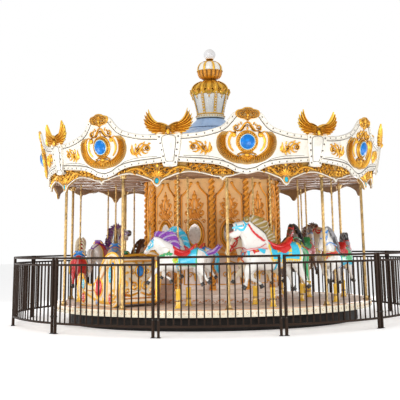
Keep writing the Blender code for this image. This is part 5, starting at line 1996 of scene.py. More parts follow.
class Skin:
    """The carved skin, and what lies on it."""

    def __init__(self, mesh):
        self.points = [vertex.co.copy() for vertex in mesh.vertices]
        self.faces = [tuple(face.vertices) for face in mesh.polygons]
        self.tree = BVHTree.FromPolygons(self.points, self.faces)

    def near(self, points):
        """Nearest points on the skin and the way out at each."""
        found = [self.tree.find_nearest(Vector(point))[:2] for point in points]
        return np.array([place for place, _ in found]), np.array([out for _, out in found])

    def strap(self, path, wide, thick, steps=3, lift=0.0):
        """Flat band that lies on the skin along a path."""
        places, out = self.near(smooth_rows(path, steps))
        for _ in range(2):
            places[1:-1] = (places[:-2] + 2 * places[1:-1] + places[2:]) / 4
            out[1:-1] = out[:-2] + 2 * out[1:-1] + out[2:]
        out /= np.linalg.norm(out, axis=1)[:, None]
        way = np.gradient(places, axis=0)
        side = np.cross(way, out)
        side /= np.linalg.norm(side, axis=1)[:, None]
        corners = ((-1, -0.4), (-0.85, 1), (0.85, 1), (1, -0.4))
        rows = [places + side * (wide * a) + out * (lift + thick * b) for a, b in corners]
        return np.stack(rows, 1).reshape(-1, 3), ring_faces(len(places), 4)

    def cover(self, guide, thick, sink=0.004):
        """Closed sheet of this thickness over the skin. The guide is a grid of points near it."""
        guide = np.asarray(guide, float)
        rows, columns = guide.shape[:2]
        places, out = self.near(guide.reshape(-1, 3))
        thick = np.broadcast_to(np.asarray(thick, float), (rows, columns)).reshape(-1, 1)
        front, back = places + out * thick, places - out * sink
        count = rows * columns
        faces = []
        for i in range(rows - 1):
            for j in range(columns - 1):
                a = i * columns + j
                faces.append((a, a + 1, a + columns + 1, a + columns))
                faces.append((count + a, count + a + columns, count + a + columns + 1, count + a + 1))
        rim = list(range(columns)) + [i * columns + columns - 1 for i in range(1, rows)]
        rim += list(range(rows * columns - 2, (rows - 1) * columns - 1, -1))
        rim += [i * columns for i in range(rows - 2, 0, -1)]
        for a, b in zip(rim, rim[1:] + rim[:1]):
            faces.append((a, count + a, count + b, b))
        return np.concatenate([front, back]), faces


def over_back(back, front, low, count=(7, 13)):
    """Guide grid over the horse's back, from one flank across to the other."""
    grid = []
    for x in np.linspace(back, front, count[0]):
        row = []
        for turn in np.linspace(-1, 1, count[1]):
            angle = turn * math.radians(118)
            row.append((x, 0.20 * math.sin(angle), 1.07 + 0.20 * math.cos(angle)))
        grid.append(row)
    grid = np.array(grid)
    grid[:, :, 2] = np.maximum(grid[:, :, 2], low)
    return grid


def lock(path, wide, deep, steps=2, sides=5):
    """Lock of hair: thick at its root, drawn to a point."""
    share = np.linspace(0, 1, len(path))
    swell = np.sin(np.clip(share * 0.86 + 0.14, 0, 1) * math.pi) ** 0.7
    rows = [(*point, max(wide * s, 0.0015), max(deep * s, 0.0015)) for point, s in zip(path, swell)]
    return tube(smooth_rows(rows, steps), sides)


def crest_rows(count, fore=()):
    """Points along the crest from poll to withers, the way back along it and the way out of it."""
    path = smooth_rows((*fore, *CREST), 8)
    at = np.linspace(0, len(path) - 1, count)
    path = np.stack([np.interp(at, range(len(path)), path[:, axis]) for axis in (0, 1)], 1)
    back = np.gradient(path, axis=0)
    back /= np.linalg.norm(back, axis=1)[:, None]
    return zip(path, back, np.stack([back[:, 1], -back[:, 0]], 1))


def add_mane(form, kind, side):
    """Mane that falls to one side, sweeps back in an arch or stands up in spikes."""
    if kind == "falling":
        for i, ((x, z), _, _) in enumerate(crest_rows(21)):
            way = side if i % 3 else -side
            wave, fall = 0.012 * math.sin(i * 2.1), 0.115 + 0.030 * math.sin(i * 1.3)
            path = [
                (x + 0.010, 0, z - 0.012),
                (x - 0.012, way * 0.030, z + 0.012),
                (x - 0.040 + wave, way * 0.068, z - 0.030),
                (x - 0.062 - wave, way * 0.082, z - 0.30 * fall - 0.035),
                (x - 0.098 + wave, way * 0.086, z - fall),
                (x - 0.128, way * 0.080, z - fall - 0.018),
            ]
            form.add(lock(path, 0.020, 0.024), "mane")
    else:
        count, run, wide = 38, (0.002, 0.006, 0.020), 0.0075
        if kind == "arched":
            count, run, wide = 17, (0.01, 0.05, 0.10), 0.017
        fore = ((0.405, 1.500),) if kind == "spiked" else ()
        for i, (root, back, out) in enumerate(crest_rows(count, fore)):
            share = i / (count - 1)
            tall = 0.115 * math.sin(math.pi * (0.22 + 0.68 * share))
            if kind == "spiked":
                tall = 0.050 + 0.060 * math.sin(math.pi * (0.10 + 0.62 * share))
                tall += 0.020 * math.sin(i * 2.6)
            for row in (-1, 1) if kind == "spiked" else (-1, 0, 1):
                path = [(*root, row * 0.016)]
                for step, lean in zip((0.45, 0.85, 1.0), run):
                    point = root + out * tall * step + back * (lean + 0.006 * row)
                    path.append((*point, row * (0.016 + 0.010 * step)))
                form.add(lock([(x, y, z) for x, z, y in path], wide, 0.020, 1),
                         ("mane", "mane_light")[(i + row) % 3 == 0])
    for way in (-1, 0, 1):
        path = [(0.335, way * 0.012, 1.548), (0.370, way * 0.020, 1.556), (0.405, way * 0.026, 1.515),
                (0.418, way * 0.020, 1.470)]
        form.add(lock(path, 0.015, 0.014), "mane")


def add_tail(form, kind):
    spine = TAILS[kind]
    for i in range(7):
        turn = 2 * math.pi * i / 6
        reach = 0.0 if i == 6 else 0.026
        path = []
        for k, (x, z) in enumerate(spine):
            spread_out = reach * min(1.0, 0.35 + 0.3 * k)
            wave = 0.010 * math.sin(k * 1.9 + i)
            path.append((x + spread_out * math.cos(turn) + wave, spread_out * math.sin(turn) * 1.3,
                         z + 0.4 * spread_out * math.cos(turn)))
        end = path[-1]
        path[-1] = (end[0], end[1] * 0.6, end[2] - 0.02 * (i % 3))
        form.add(lock(path, 0.024, 0.026), ("tail", "tail_light")[i % 2])
    form.add(tube([(-0.462, 0, 1.150, 0.030, 0.030), (-0.480, 0, 1.162, 0.033, 0.033),
                   (-0.492, 0, 1.170, 0.028, 0.028)], 10), "strap")


def add_hooves(form):
    for side, rows in LEGS:
        before, end = np.array(rows[-2][:2]), np.array(rows[-1][:2])
        way = (end - before) / np.linalg.norm(end - before)
        stations = ((-0.016, 0.0275), (0.004, 0.031), (0.010, 0.0285), (0.034, 0.0350), (0.040, 0.0335))
        path = []
        for run, radius in stations:
            x, z = end + way * run
            path.append((x, side, z, radius * 0.92, radius))
        form.add(tube(path, 12), "hoof")


def add_open_mouth(form):
    """Lower jaw, tongue and dark nose of a horse that throws its head up."""
    for rows, finish in ((JAW, "coat"), (TONGUE, "mouth")):
        form.add(tube(smooth_rows([(x, 0, z, wide, high) for x, z, wide, high in rows], 3), 12), finish)
    stations = zip(HEAD[-4:], (1.02, 1.28, 1.40, 1.55))
    nose = [(x, 0, z, wide * grow, high * grow) for (x, z, wide, high), grow in stations]
    form.add(tube(smooth_rows(nose, 3), 14), "nose")


def add_face(form, skin):
    for side in (-1, 1):
        place, out = skin.near([(0.405, side * 0.070, 1.445)])
        form.add(boss(place[0], out[0], 0.0175, 0.012, 1.0), "eye_white")
        form.add(boss(place[0] + out[0] * 0.004, out[0], 0.0115, 0.0115, 1.0), "eye")
        lid = [(0.380, side * 0.06, 1.452), (0.405, side * 0.07, 1.466), (0.428, side * 0.06, 1.445)]
        form.add(skin.strap(lid, 0.004, 0.007, 3), "coat")
        place, out = skin.near([(0.553, side * 0.040, 1.238)])
        form.add(boss(place[0], out[0], 0.0085, 0.002, 1.0), "eye")
        lips = [(0.558, side * 0.012, 1.200), (0.545, side * 0.030, 1.205), (0.520, side * 0.038, 1.222),
                (0.500, side * 0.040, 1.235)]
        form.add(skin.strap(lips, 0.0045, 0.0018, 3), "mouth")


def boss(centre, out, radius, height, stretch=1.0, sides=10, rings=3):
    """Round boss that stands on the skin."""
    out = Vector(out).normalized()
    turn = out.to_track_quat("Z", "Y").to_matrix()
    points, faces = dome((0, 0), radius, height, sides, rings, stretch)
    return points @ np.array(turn).T + np.array(centre), faces


def rosette(form, skin, near, radius, petals, finish, heart="gold"):
    """Ribbon rosette with petals round a button."""
    place, out = skin.near([near])
    place, out = place[0], Vector(out[0]).normalized()
    turn = np.array(out.to_track_quat("Z", "Y").to_matrix())
    flat = Form()
    for i in range(petals):
        way = 2 * math.pi * i / petals
        tip = (radius * math.cos(way), radius * math.sin(way))
        flat.add(leaf((tip[0] * 0.2, tip[1] * 0.2), tip, radius * 0.34, 0.010, 0.0), finish)
    flat.add(dome((0, 0), radius * 0.40, 0.018, 10, 3), heart)
    form.take(flat, lambda points: points @ turn.T + place)


def add_bridle(form, skin, twisted):
    for side in (-1, 1):
        cheek = [(0.335, 0.05, 1.515), (0.375, 0.06, 1.475), (0.430, 0.06, 1.39), (0.475, 0.05, 1.320),
                 (0.508, 0.045, 1.262)]
        form.add(skin.strap([(x, side * y, z) for x, y, z in cheek], 0.015, 0.006), "strap")
        under = [(0.385, 0.05, 1.500), (0.360, 0.06, 1.440), (0.375, 0.06, 1.380), (0.420, 0.05, 1.345),
                 (0.470, 0.045, 1.330)]
        form.add(skin.strap([(x, side * y, z) for x, y, z in under], 0.013, 0.006), "strap")
        if twisted:
            along = smooth_rows([(0.330, 0.06, 1.500), (0.270, 0.075, 1.440), (0.200, 0.085, 1.370),
                                 (0.130, 0.09, 1.290)], 8)
            places, out = skin.near([(x, side * y, z) for x, y, z in along])
            turns = np.linspace(0, 6 * math.pi, len(places))
            for start in (0, math.pi):
                wave = np.sin(turns + start)[:, None] * np.array((0.75, 0, 0.65)) * 0.012
                rise = out * (0.010 + 0.006 * np.cos(turns + start))[:, None]
                form.add(tube([(*point, 0.0115, 0.0115) for point in places + rise + wave], 6), "rein")
        else:
            rein = [(0.508, 0.045, 1.255), (0.430, 0.075, 1.30), (0.33, 0.085, 1.325),
                    (0.235, 0.10, 1.300), (0.10, 0.09, 1.270)]
            rows = smooth_rows([(x, side * y, z, 0.0065, 0.0085) for x, y, z in rein], 3)
            form.add(tube(rows, 5), "rein")
        place, out = skin.near([(0.508, side * 0.045, 1.258)])
        form.add(boss(place[0], out[0], 0.014, 0.008, 1.0), "gold")
        place, out = skin.near([(0.352, side * 0.06, 1.500)])
        form.add(boss(place[0], out[0], 0.013, 0.009, 1.0), "jewel")
    for near, radius, lean in (((0.455, 1.335), 0.055, (0.60, 0.80)),
                               ((0.385, 1.475), 0.075, (0.80, 0.60))):
        turn = np.linspace(0, 2 * math.pi, 17)
        path = [(near[0] + radius * lean[0] * math.cos(a), radius * math.sin(a),
                 near[1] + radius * lean[1] * math.cos(a)) for a in turn]
        form.add(skin.strap(path, 0.014, 0.006, 1), "strap")


# Blankets: back end, front end and lowest line
BLANKETS = {"square": (-0.34, -0.06, 1.00), "pointed": (-0.34, 0.04, 0.99),
            "fringed": (-0.37, 0.065, 1.01)}


def add_saddle(form, skin, style):
    back, front, low = BLANKETS[style]
    blanket = over_back(back, front, low)
    if style == "pointed":
        drop = np.abs(np.linspace(-1, 1, blanket.shape[1])) ** 4
        blanket[:, :, 0] += np.where(blanket[:, :, 0] < -0.15, -0.05, 0.0) * drop
    form.add(skin.cover(blanket, 0.012), "blanket")
    for edge in (blanket[0], blanket[-1]):
        form.add(skin.strap(edge, 0.013, 0.017, 1), "edge")
    if style == "fringed":
        for share in (0.36, 0.72):
            patch = over_back(back + (front - back) * share - 0.026,
                              back + (front - back) * share + 0.026, low + 0.05, (3, 9))
            form.add(skin.cover(patch, 0.015), ("patch", "edge")[share < 0.5])
    for column in (0, -1):
        form.add(skin.strap(blanket[:, column], 0.010, 0.017, 2), "edge")
        side = -1 if column == 0 else 1
        for x in np.linspace(back + 0.01, front - 0.01, 12):
            place, out = skin.near([(x, side * 0.16, low + 0.01)])
            hang = place[0] + out[0] * 0.010
            tassel = [hang, hang + (0, side * 0.004, -0.020), hang + (0, side * 0.002, -0.045)]
            form.add(lock(tassel, 0.009, 0.008, 1, 5), "edge")
    flap = over_back(-0.235, 0.015, 0.0, (9, 11))
    flap[:, :, 2] = np.maximum(flap[:, :, 2], 1.10 + 1.0 * np.abs(flap[:, :, 0] + 0.13))
    form.add(skin.cover(flap, 0.024), "saddle")
    seat = (
        (0.078, 1.300, 0.018, 0.010),
        (0.068, 1.280, 0.042, 0.024),
        (0.035, 1.246, 0.064, 0.032),
        (-0.030, 1.210, 0.082, 0.034),
        (-0.120, 1.192, 0.098, 0.036),
        (-0.200, 1.210, 0.106, 0.040),
        (-0.255, 1.252, 0.104, 0.036),
        (-0.292, 1.300, 0.092, 0.024),
        (-0.308, 1.328, 0.072, 0.010),
    )
    form.add(tube(smooth_rows([(x, 0, z, wide, high) for x, z, wide, high in seat], 3), 16), "saddle")
    rim = [(-0.304, y, 1.322 - 5.5 * y * y) for y in np.linspace(-0.105, 0.105, 9)]
    form.add(tube([(*point, 0.008, 0.010) for point in rim], 6, (1, 0, 0)), "gold")
    for side in (-1, 1):
        girth = [(-0.02, side * 0.16, 1.06), (-0.02, side * 0.14, 0.97), (-0.02, side * 0.08, 0.915),
                 (-0.02, 0.0, 0.905)]
        form.add(skin.strap(girth, 0.016, 0.006), "strap")
        strip = [(-0.06, side * 0.168, 1.12), (-0.06, side * 0.178, 1.05), (-0.06, side * 0.174, 0.985)]
        form.add(tube([(*point, 0.004, 0.008) for point in strip], 4), "strap")
        turns = np.linspace(0, 2 * math.pi, 13)
        iron = [(-0.06 + 0.026 * math.sin(a), side * 0.174, 0.955 + 0.030 * math.cos(a), 0.005, 0.004)
                for a in turns]
        form.add(tube(iron, 5), "gold")
        path = [(-0.31, side * 0.05, 1.255), (-0.38, side * 0.06, 1.235), (-0.43, side * 0.045, 1.20),
                (-0.465, side * 0.02, 1.165)]
        form.add(skin.strap(path, 0.011, 0.007), "strap")
        if style == "fringed":
            rosette(form, skin, (-0.40, side * 0.10, 1.225), 0.055, 9, "edge")


def add_chest(form, skin, kind):
    """Breast strap from saddle to saddle, with what hangs from it."""
    bands = {"plate": (0.030, "accent"), "pennants": (0.018, "blush"), "leaves": (0.010, "strap")}
    broad, finish = bands.get(kind, (0.017, "strap"))
    path = []
    for turn in np.linspace(-1, 1, 15):
        angle = turn * math.radians(100)
        path.append((0.13 + 0.22 * math.cos(angle), 0.19 * math.sin(angle),
                     1.230 - 0.085 * math.cos(angle)))
    form.add(skin.strap(path, broad, 0.008, 2), finish)
    for edge in (-broad, broad):
        line = [(x, y, z + edge * 1.1) for x, y, z in path]
        form.add(skin.strap(line, 0.004, 0.010, 2), "gold" if kind != "pennants" else "accent")
    hung = smooth_rows(path, 2)[2:-2:3]
    for i, point in enumerate(hung):
        if kind == "leaves":
            break
        long = (0.115, 0.085)[i % 2] if kind == "pennants" else 0.060
        place, out = skin.near([point - (0, 0, 0.012)])
        low, _ = skin.near([point - (0, 0, long)])
        wide = (0.038, 0.020)[i % 2] if kind == "pennants" else 0.010
        tip, root = low[0] + out[0] * 0.006, place[0] + out[0] * 0.004
        rows = [(*root, wide, 0.006), (*(root * 0.5 + tip * 0.5), wide * 0.75, 0.006),
                (*tip, 0.003, 0.003)]
        across = (0.8, 0, 0.6) if abs(out[0][1]) > 0.5 else (0, 1, 0)
        form.add(tube(rows, 6, across), ("blanket", "accent")[i % 2] if kind == "pennants" else "gold")
    for side in (-1, 1):
        if kind == "leaves":
            rosette(form, skin, (0.00, side * 0.16, 1.085), 0.062, 8, "accent")
            for x, z, turn in ((0.30, 1.14, 0.5), (0.25, 1.17, 0.8), (0.19, 1.19, 0.9), (0.13, 1.21, 0.9),
                               (0.08, 1.21, 0.7)):
                way = np.array((-math.cos(turn), 0, math.sin(turn))) * 0.045
                spot = np.array((x, side * 0.14, z - 0.02))
                ends, out = skin.near([spot - way, spot, spot + way])
                rows = [(*(point + rise * 0.004), wide, 0.007)
                        for point, rise, wide in zip(ends, out, (0.008, 0.028, 0.003))]
                form.add(tube(smooth_rows(rows, 2), 8, (0.5, 0, 0.8)), "edge")
        else:
            rosette(form, skin, (0.20, side * 0.14, 1.15), 0.026, 8, "accent")
    drops = ((1.14, 0.034), (1.07, 0.040), (1.00, 0.034)) if kind == "pennants" else ((1.10, 0.034),)
    for z, radius in drops:
        rosette(form, skin, (0.335, 0.0, z), radius, 9, "accent")


HORSE_PAINTS = {
    "white": (0.78, 0.75, 0.70),
    "cream": (0.78, 0.68, 0.50),
    "grey": (0.30, 0.30, 0.33),
    "ash": (0.20, 0.19, 0.20),
    "black": (0.02, 0.018, 0.018),
    "brown": (0.13, 0.055, 0.022),
    "chestnut": (0.30, 0.10, 0.03),
    "purple": (0.20, 0.035, 0.33),
    "blonde": (0.24, 0.15, 0.012),
    "cyan": (0.03, 0.50, 0.72),
    "red": (0.62, 0.018, 0.018),
    "blue": (0.02, 0.24, 0.66),
    "green": (0.02, 0.38, 0.12),
    "lime": (0.42, 0.66, 0.03),
    "yellow": (0.86, 0.58, 0.03),
    "orange": (0.82, 0.24, 0.02),
    "pink": (0.80, 0.55, 0.55),
}
# Coat, mane, tail, saddle, blanket, edge, strap, accent, rein, then the shapes: mane, blanket, chest
HORSE_LOOKS = {
    "outer": (
        "white purple purple red cyan green cyan lime white arched square leaves",
        "white blonde green red cyan yellow cyan red red spiked fringed pennants",
        "white ash ash red green cyan blue red blue falling pointed plate",
        "grey black black brown red orange red orange red arched fringed rosettes",
        "cream brown brown blue purple yellow red yellow red spiked square pennants",
        "white black black green red yellow green red green falling pointed plate",
        "chestnut blonde blonde red blue yellow cyan yellow blue arched fringed rosettes",
        "white purple white purple red yellow purple orange purple spiked square plate",
        "red cream red blue blue yellow blue orange blue falling pointed pennants",
    ),
    "inner": (
        "white cyan cyan red blue yellow blue orange blue arched square rosettes",
        "cream brown brown red green yellow red orange red falling fringed plate",
        "brown black black green red yellow red green green falling pointed pennants",
        "white ash ash blue cyan yellow blue red red arched square plate",
        "chestnut black black red green yellow green orange green falling fringed rosettes",
        "cream blonde blonde purple red yellow purple lime purple arched pointed plate",
        "black ash ash red blue yellow red yellow red falling square pennants",
        "white brown brown green purple yellow green red green falling fringed plate",
        "grey blonde blonde blue red yellow blue yellow blue arched pointed rosettes",
    ),
}
# Size, height above the middle of the travel, bearing and tail
HORSE_BEARINGS = {
    "outer": (
        (1.0, 0.00, "bowed", "streaming"),
        (1.14, 0.06, "proud", "hanging"),
        (1.06, -0.02, "level", "arched"),
        (1.06, -0.06, "bowed", "arched"),
        (1.0, 0.08, "proud", "hanging"),
        (1.06, -0.09, "level", "arched"),
        (1.0, 0.03, "bowed", "streaming"),
        (1.06, 0.09, "proud", "hanging"),
        (1.0, -0.10, "level", "arched"),
    ),
    "inner": tuple((0.92, lift, "level", "hanging")
                   for lift in (0.02, -0.06, 0.10, 0.02, -0.08, 0.05, -0.03, -0.10, 0.04)),
}
HORSE_MIDDLE = 1.15
POLE_LOW, POLE_HIGH = 0.488, 2.67


def horse_palette(looks, palette):
    made = dict(palette)
    for part, name in zip(("coat", "mane", "tail", "saddle", "blanket", "edge", "strap", "accent",
                           "rein"), looks):
        colour = HORSE_PAINTS[name]
        if part == "coat":
            made[part] = paint("coat_" + name, colour, 0.22, 0.7)
        elif part in ("mane", "tail"):
            made[part] = paint("hair_" + name, colour, 0.4, 0.2, (1, 1, 1), 0.0012)
            light = tuple(value * 0.6 + 0.26 for value in colour)
            made[part + "_light"] = paint("light_hair_" + name, light, 0.4, 0.2, (1, 1, 1), 0.0012)
        else:
            made[part] = paint("trim_" + name, colour, 0.26, 0.5)
    made["patch"] = paint("trim_yellow", HORSE_PAINTS["yellow"], 0.26, 0.5)
    made["hoof"] = paint("hoof_paint", HORSE_PAINTS["black"], 0.26, 0.5)
    made["nose"] = paint("nose_paint", shade(HORSE_PAINTS["brown"], 0.6), 0.22, 0.7)
    made["blush"] = paint("trim_pink", HORSE_PAINTS["pink"], 0.26, 0.5)
    made["jewel"] = palette["gem"]
    made["eye"] = paint("eye_paint", (0.008, 0.006, 0.006), 0.08, 1.0)
    made["eye_white"] = paint("eye_white_paint", (0.70, 0.68, 0.62), 0.15, 1.0)
    made["mouth"] = paint("mouth_paint", (0.50, 0.02, 0.02), 0.25, 0.6)
    return made


def ring_place(circle, angle):
    """Frame of a place on the deck: +X heads along the ring, +Y points away from the axis."""
    x, y, _ = on_ring(circle, angle)
    return Matrix.Translation((x, y, 0)) @ Matrix.Rotation(math.radians(angle + 180), 4, "Z")


def build_horses(palette):
    mesh = carved_skin()
    skin = Skin(mesh)
    body_points = np.array([tuple(point) for point in skin.points])
    seats = {name: (circle, angle) for name, circle, angle in places()}
    for row in ("outer", "inner"):
        for i in range(BAYS - 1):
            name = f"horse_{row}_{i + 1:02d}"
            *looks, mane, blanket, chest = HORSE_LOOKS[row][i].split()
            size, lift, bearing, tail = HORSE_BEARINGS[row][i]
            form = Form()
            form.add((body_points, skin.faces), "coat")
            add_mane(form, mane, 1 if i % 2 == 0 else -1)
            add_tail(form, tail)
            add_hooves(form)
            add_face(form, skin)
            if bearing == "proud":
                add_open_mouth(form)
            add_bridle(form, skin, bearing == "proud")
            add_saddle(form, skin, blanket)
            add_chest(form, skin, chest)
            colours_used = horse_palette(looks, palette)
            sized = Form()
            rise = HORSE_MIDDLE + lift
            middle = (0, 0, HORSE_MIDDLE)
            sized.take(form, lambda points: (posed(points, bearing) - middle) * size + (0, 0, rise))
            carving = sized.mesh(f"{name}_carving", colours_used, 60)
            place = ring_place(*seats[name])
            carving.transform(place)
            add_piece(f"{name}_carving", carving, name, [name])
            ends = POLE_LOW + lift, POLE_HIGH + lift
            rod = twisted_rod(f"{name}_pole", sizes().pole, *ends, 20.0, 0.10, 110, 6, palette["brass"])
            rod.transform(Matrix.Translation(place.translation))
            add_piece(f"{name}_pole", rod, name)
    bpy.data.meshes.remove(mesh)


# Carriage

# Side of the carriage: forward, height
CARRIAGE_SIDE = (
    (-0.46, 0.335), (0.40, 0.335), (0.55, 0.42), (0.62, 0.60), (0.60, 0.80), (0.50, 0.86), (0.44, 0.78),
    (0.34, 0.70), (0.16, 0.68), (0.02, 0.78), (-0.08, 0.98), (-0.22, 1.14), (-0.42, 1.20),
    (-0.58, 1.12), (-0.64, 0.90), (-0.60, 0.62),
)
CARRIAGE_HALF, CARRIAGE_WALL = 0.42, 0.04


def closed_curve(points, steps):
    """Smooth closed outline through the points."""
    points = np.array(points, float)
    wrapped = np.concatenate([points[-2:], points, points[:3]])
    return smooth_rows(wrapped, steps)[2 * steps : (2 + len(points)) * steps]


def side_relief():
    """Scrolls, medallion and edge moulding of one side, as (forward, height, out)."""
    form = Form()
    outline = closed_curve(CARRIAGE_SIDE, 4)
    loop = np.concatenate([outline, outline[:1]])
    form.add(tube([(x, z, 0.0, 0.016, 0.017) for x, z in loop], 7, (0, 0, 1)), "gold")
    heart = np.array((-0.08, 0.62))
    inner = heart + (loop - heart) * 0.90
    form.add(tube([(x, z, 0.0, 0.007, 0.005) for x, z in inner], 5, (0, 0, 1)), "orange")
    form.add(spiral((0.50, 0.70), 0.095, 60, 1.35, 0.022, 0.026), "gold")
    form.add(spiral((-0.43, 1.02), 0.110, 120, -1.4, 0.024, 0.028), "gold")
    form.add(spiral((-0.43, 0.55), 0.100, 200, 1.3, 0.022, 0.024), "gold")
    form.add(stroke([(-0.52, 0.43), (-0.30, 0.40), (0.0, 0.42), (0.26, 0.50), (0.46, 0.58)],
                    (0.012, 0.024, 0.026, 0.020, 0.010), 0.024, 4, 5), "gold")
    form.add(stroke([(-0.34, 0.98), (-0.20, 0.90), (-0.06, 0.74), (0.10, 0.60), (0.30, 0.58)],
                    (0.012, 0.022, 0.024, 0.018, 0.008), 0.024, 4, 5), "orange")
    for root, tip in (((0.02, 0.43), (0.06, 0.50)), ((0.16, 0.46), (0.22, 0.54)),
                      ((-0.14, 0.415), (-0.12, 0.49)), ((-0.10, 0.78), (-0.16, 0.70)),
                      ((0.05, 0.64), (0.0, 0.56)), ((0.32, 0.53), (0.40, 0.62))):
        form.add(leaf(root, tip, 0.026, 0.020, 0.2), "gold")
    # red padded panel between two posts, each with a red oval at its foot
    form.add(dome((-0.02, 0.640), 0.112, 0.060, 20, 5, 1.30), "rose")
    form.add(oval_frame((-0.02, 0.640), 0.116, 0.150, 0.014, 0.022), "gold")
    for x, z, wide, high, finish in (
        (0.43, 0.465, 0.050, 0.078, "rose"),
        (-0.36, 0.465, 0.050, 0.078, "rose"),
        (0.03, 0.405, 0.034, 0.040, "medallion"),
        (-0.36, 0.850, 0.050, 0.135, "azure"),
        (0.44, 0.690, 0.040, 0.085, "azure"),
    ):
        form.add(slab(oval((x, z), wide, high, 20), 0.0, 0.024, 0.012), finish)
        form.add(oval_frame((x, z), wide + 0.006, high + 0.006, 0.010, 0.022), "gold")
        for u, v in oval((x, z), wide * 0.55, high * 0.55, 8):
            form.add(dome((u, v), 0.008, 0.012, 6, 2, out=0.022), "ivory")
    for x, low, high in ((-0.255, 0.42, 1.08), (-0.465, 0.42, 1.12), (0.345, 0.42, 0.70),
                         (0.525, 0.48, 0.78)):
        form.add(stroke([(x, low), (x - 0.012, (low + high) / 2), (x, high)], (0.010, 0.020, 0.010),
                        0.026, 4, 5), "gold")
    form.add(dome((0.50, 0.70), 0.026, 0.034, 12, 3), "gem")
    form.add(dome((-0.43, 1.02), 0.028, 0.036, 12, 3), "gem")
    return form


def back_relief():
    """Frame, medallion and scrolls of the carriage's back, as (across, up, out)."""
    form = Form()
    border = [(-0.34, 0.40), (0.34, 0.40), (0.34, 1.06), (-0.34, 1.06), (-0.34, 0.40)]
    form.add(stroke(border, (0.020, 0.020), 0.026, 1, 5), "gold")
    form.add(stroke([(-0.33, 0.47), (0.33, 0.47)], (0.012, 0.012), 0.016, 1, 5), "orange")
    form.add(dome((0, 0.90), 0.082, 0.036, 24, 4, 1.12), "medallion")
    form.add(oval_frame((0, 0.90), 0.084, 0.094, 0.014, 0.026), "gold")
    form.both(spiral((0.150, 0.90), 0.050, 200, 1.2, 0.014, 0.022), "gold")
    form.both(spiral((0.110, 0.655), 0.075, 60, 1.3, 0.018, 0.024), "gold")
    form.both(spiral((0.240, 0.585), 0.062, 240, 1.3, 0.016, 0.022), "gold")
    form.both(stroke([(0.02, 0.56), (0.10, 0.535), (0.20, 0.51), (0.30, 0.53)],
                     (0.012, 0.020, 0.018, 0.006), 0.022), "gold")
    for root, tip in (
        ((0.02, 0.60), (0.05, 0.76)),
        ((0.17, 0.70), (0.23, 0.80)),
        ((0.26, 0.66), (0.30, 0.76)),
        ((0.20, 0.95), (0.27, 1.01)),
        ((0.22, 0.88), (0.30, 0.84)),
        ((0.05, 0.99), (0.10, 1.04)),
    ):
        form.both(leaf(root, tip, 0.024, 0.022, 0.2), "gold")
    form.add(leaf((0, 0.60), (0, 0.79), 0.028, 0.026, 0.0), "gold")
    form.both(slab([(0.262, 0.505), (0.315, 0.505), (0.315, 0.575), (0.262, 0.575)], 0.0, 0.010, 0.006),
              "rose")
    return form


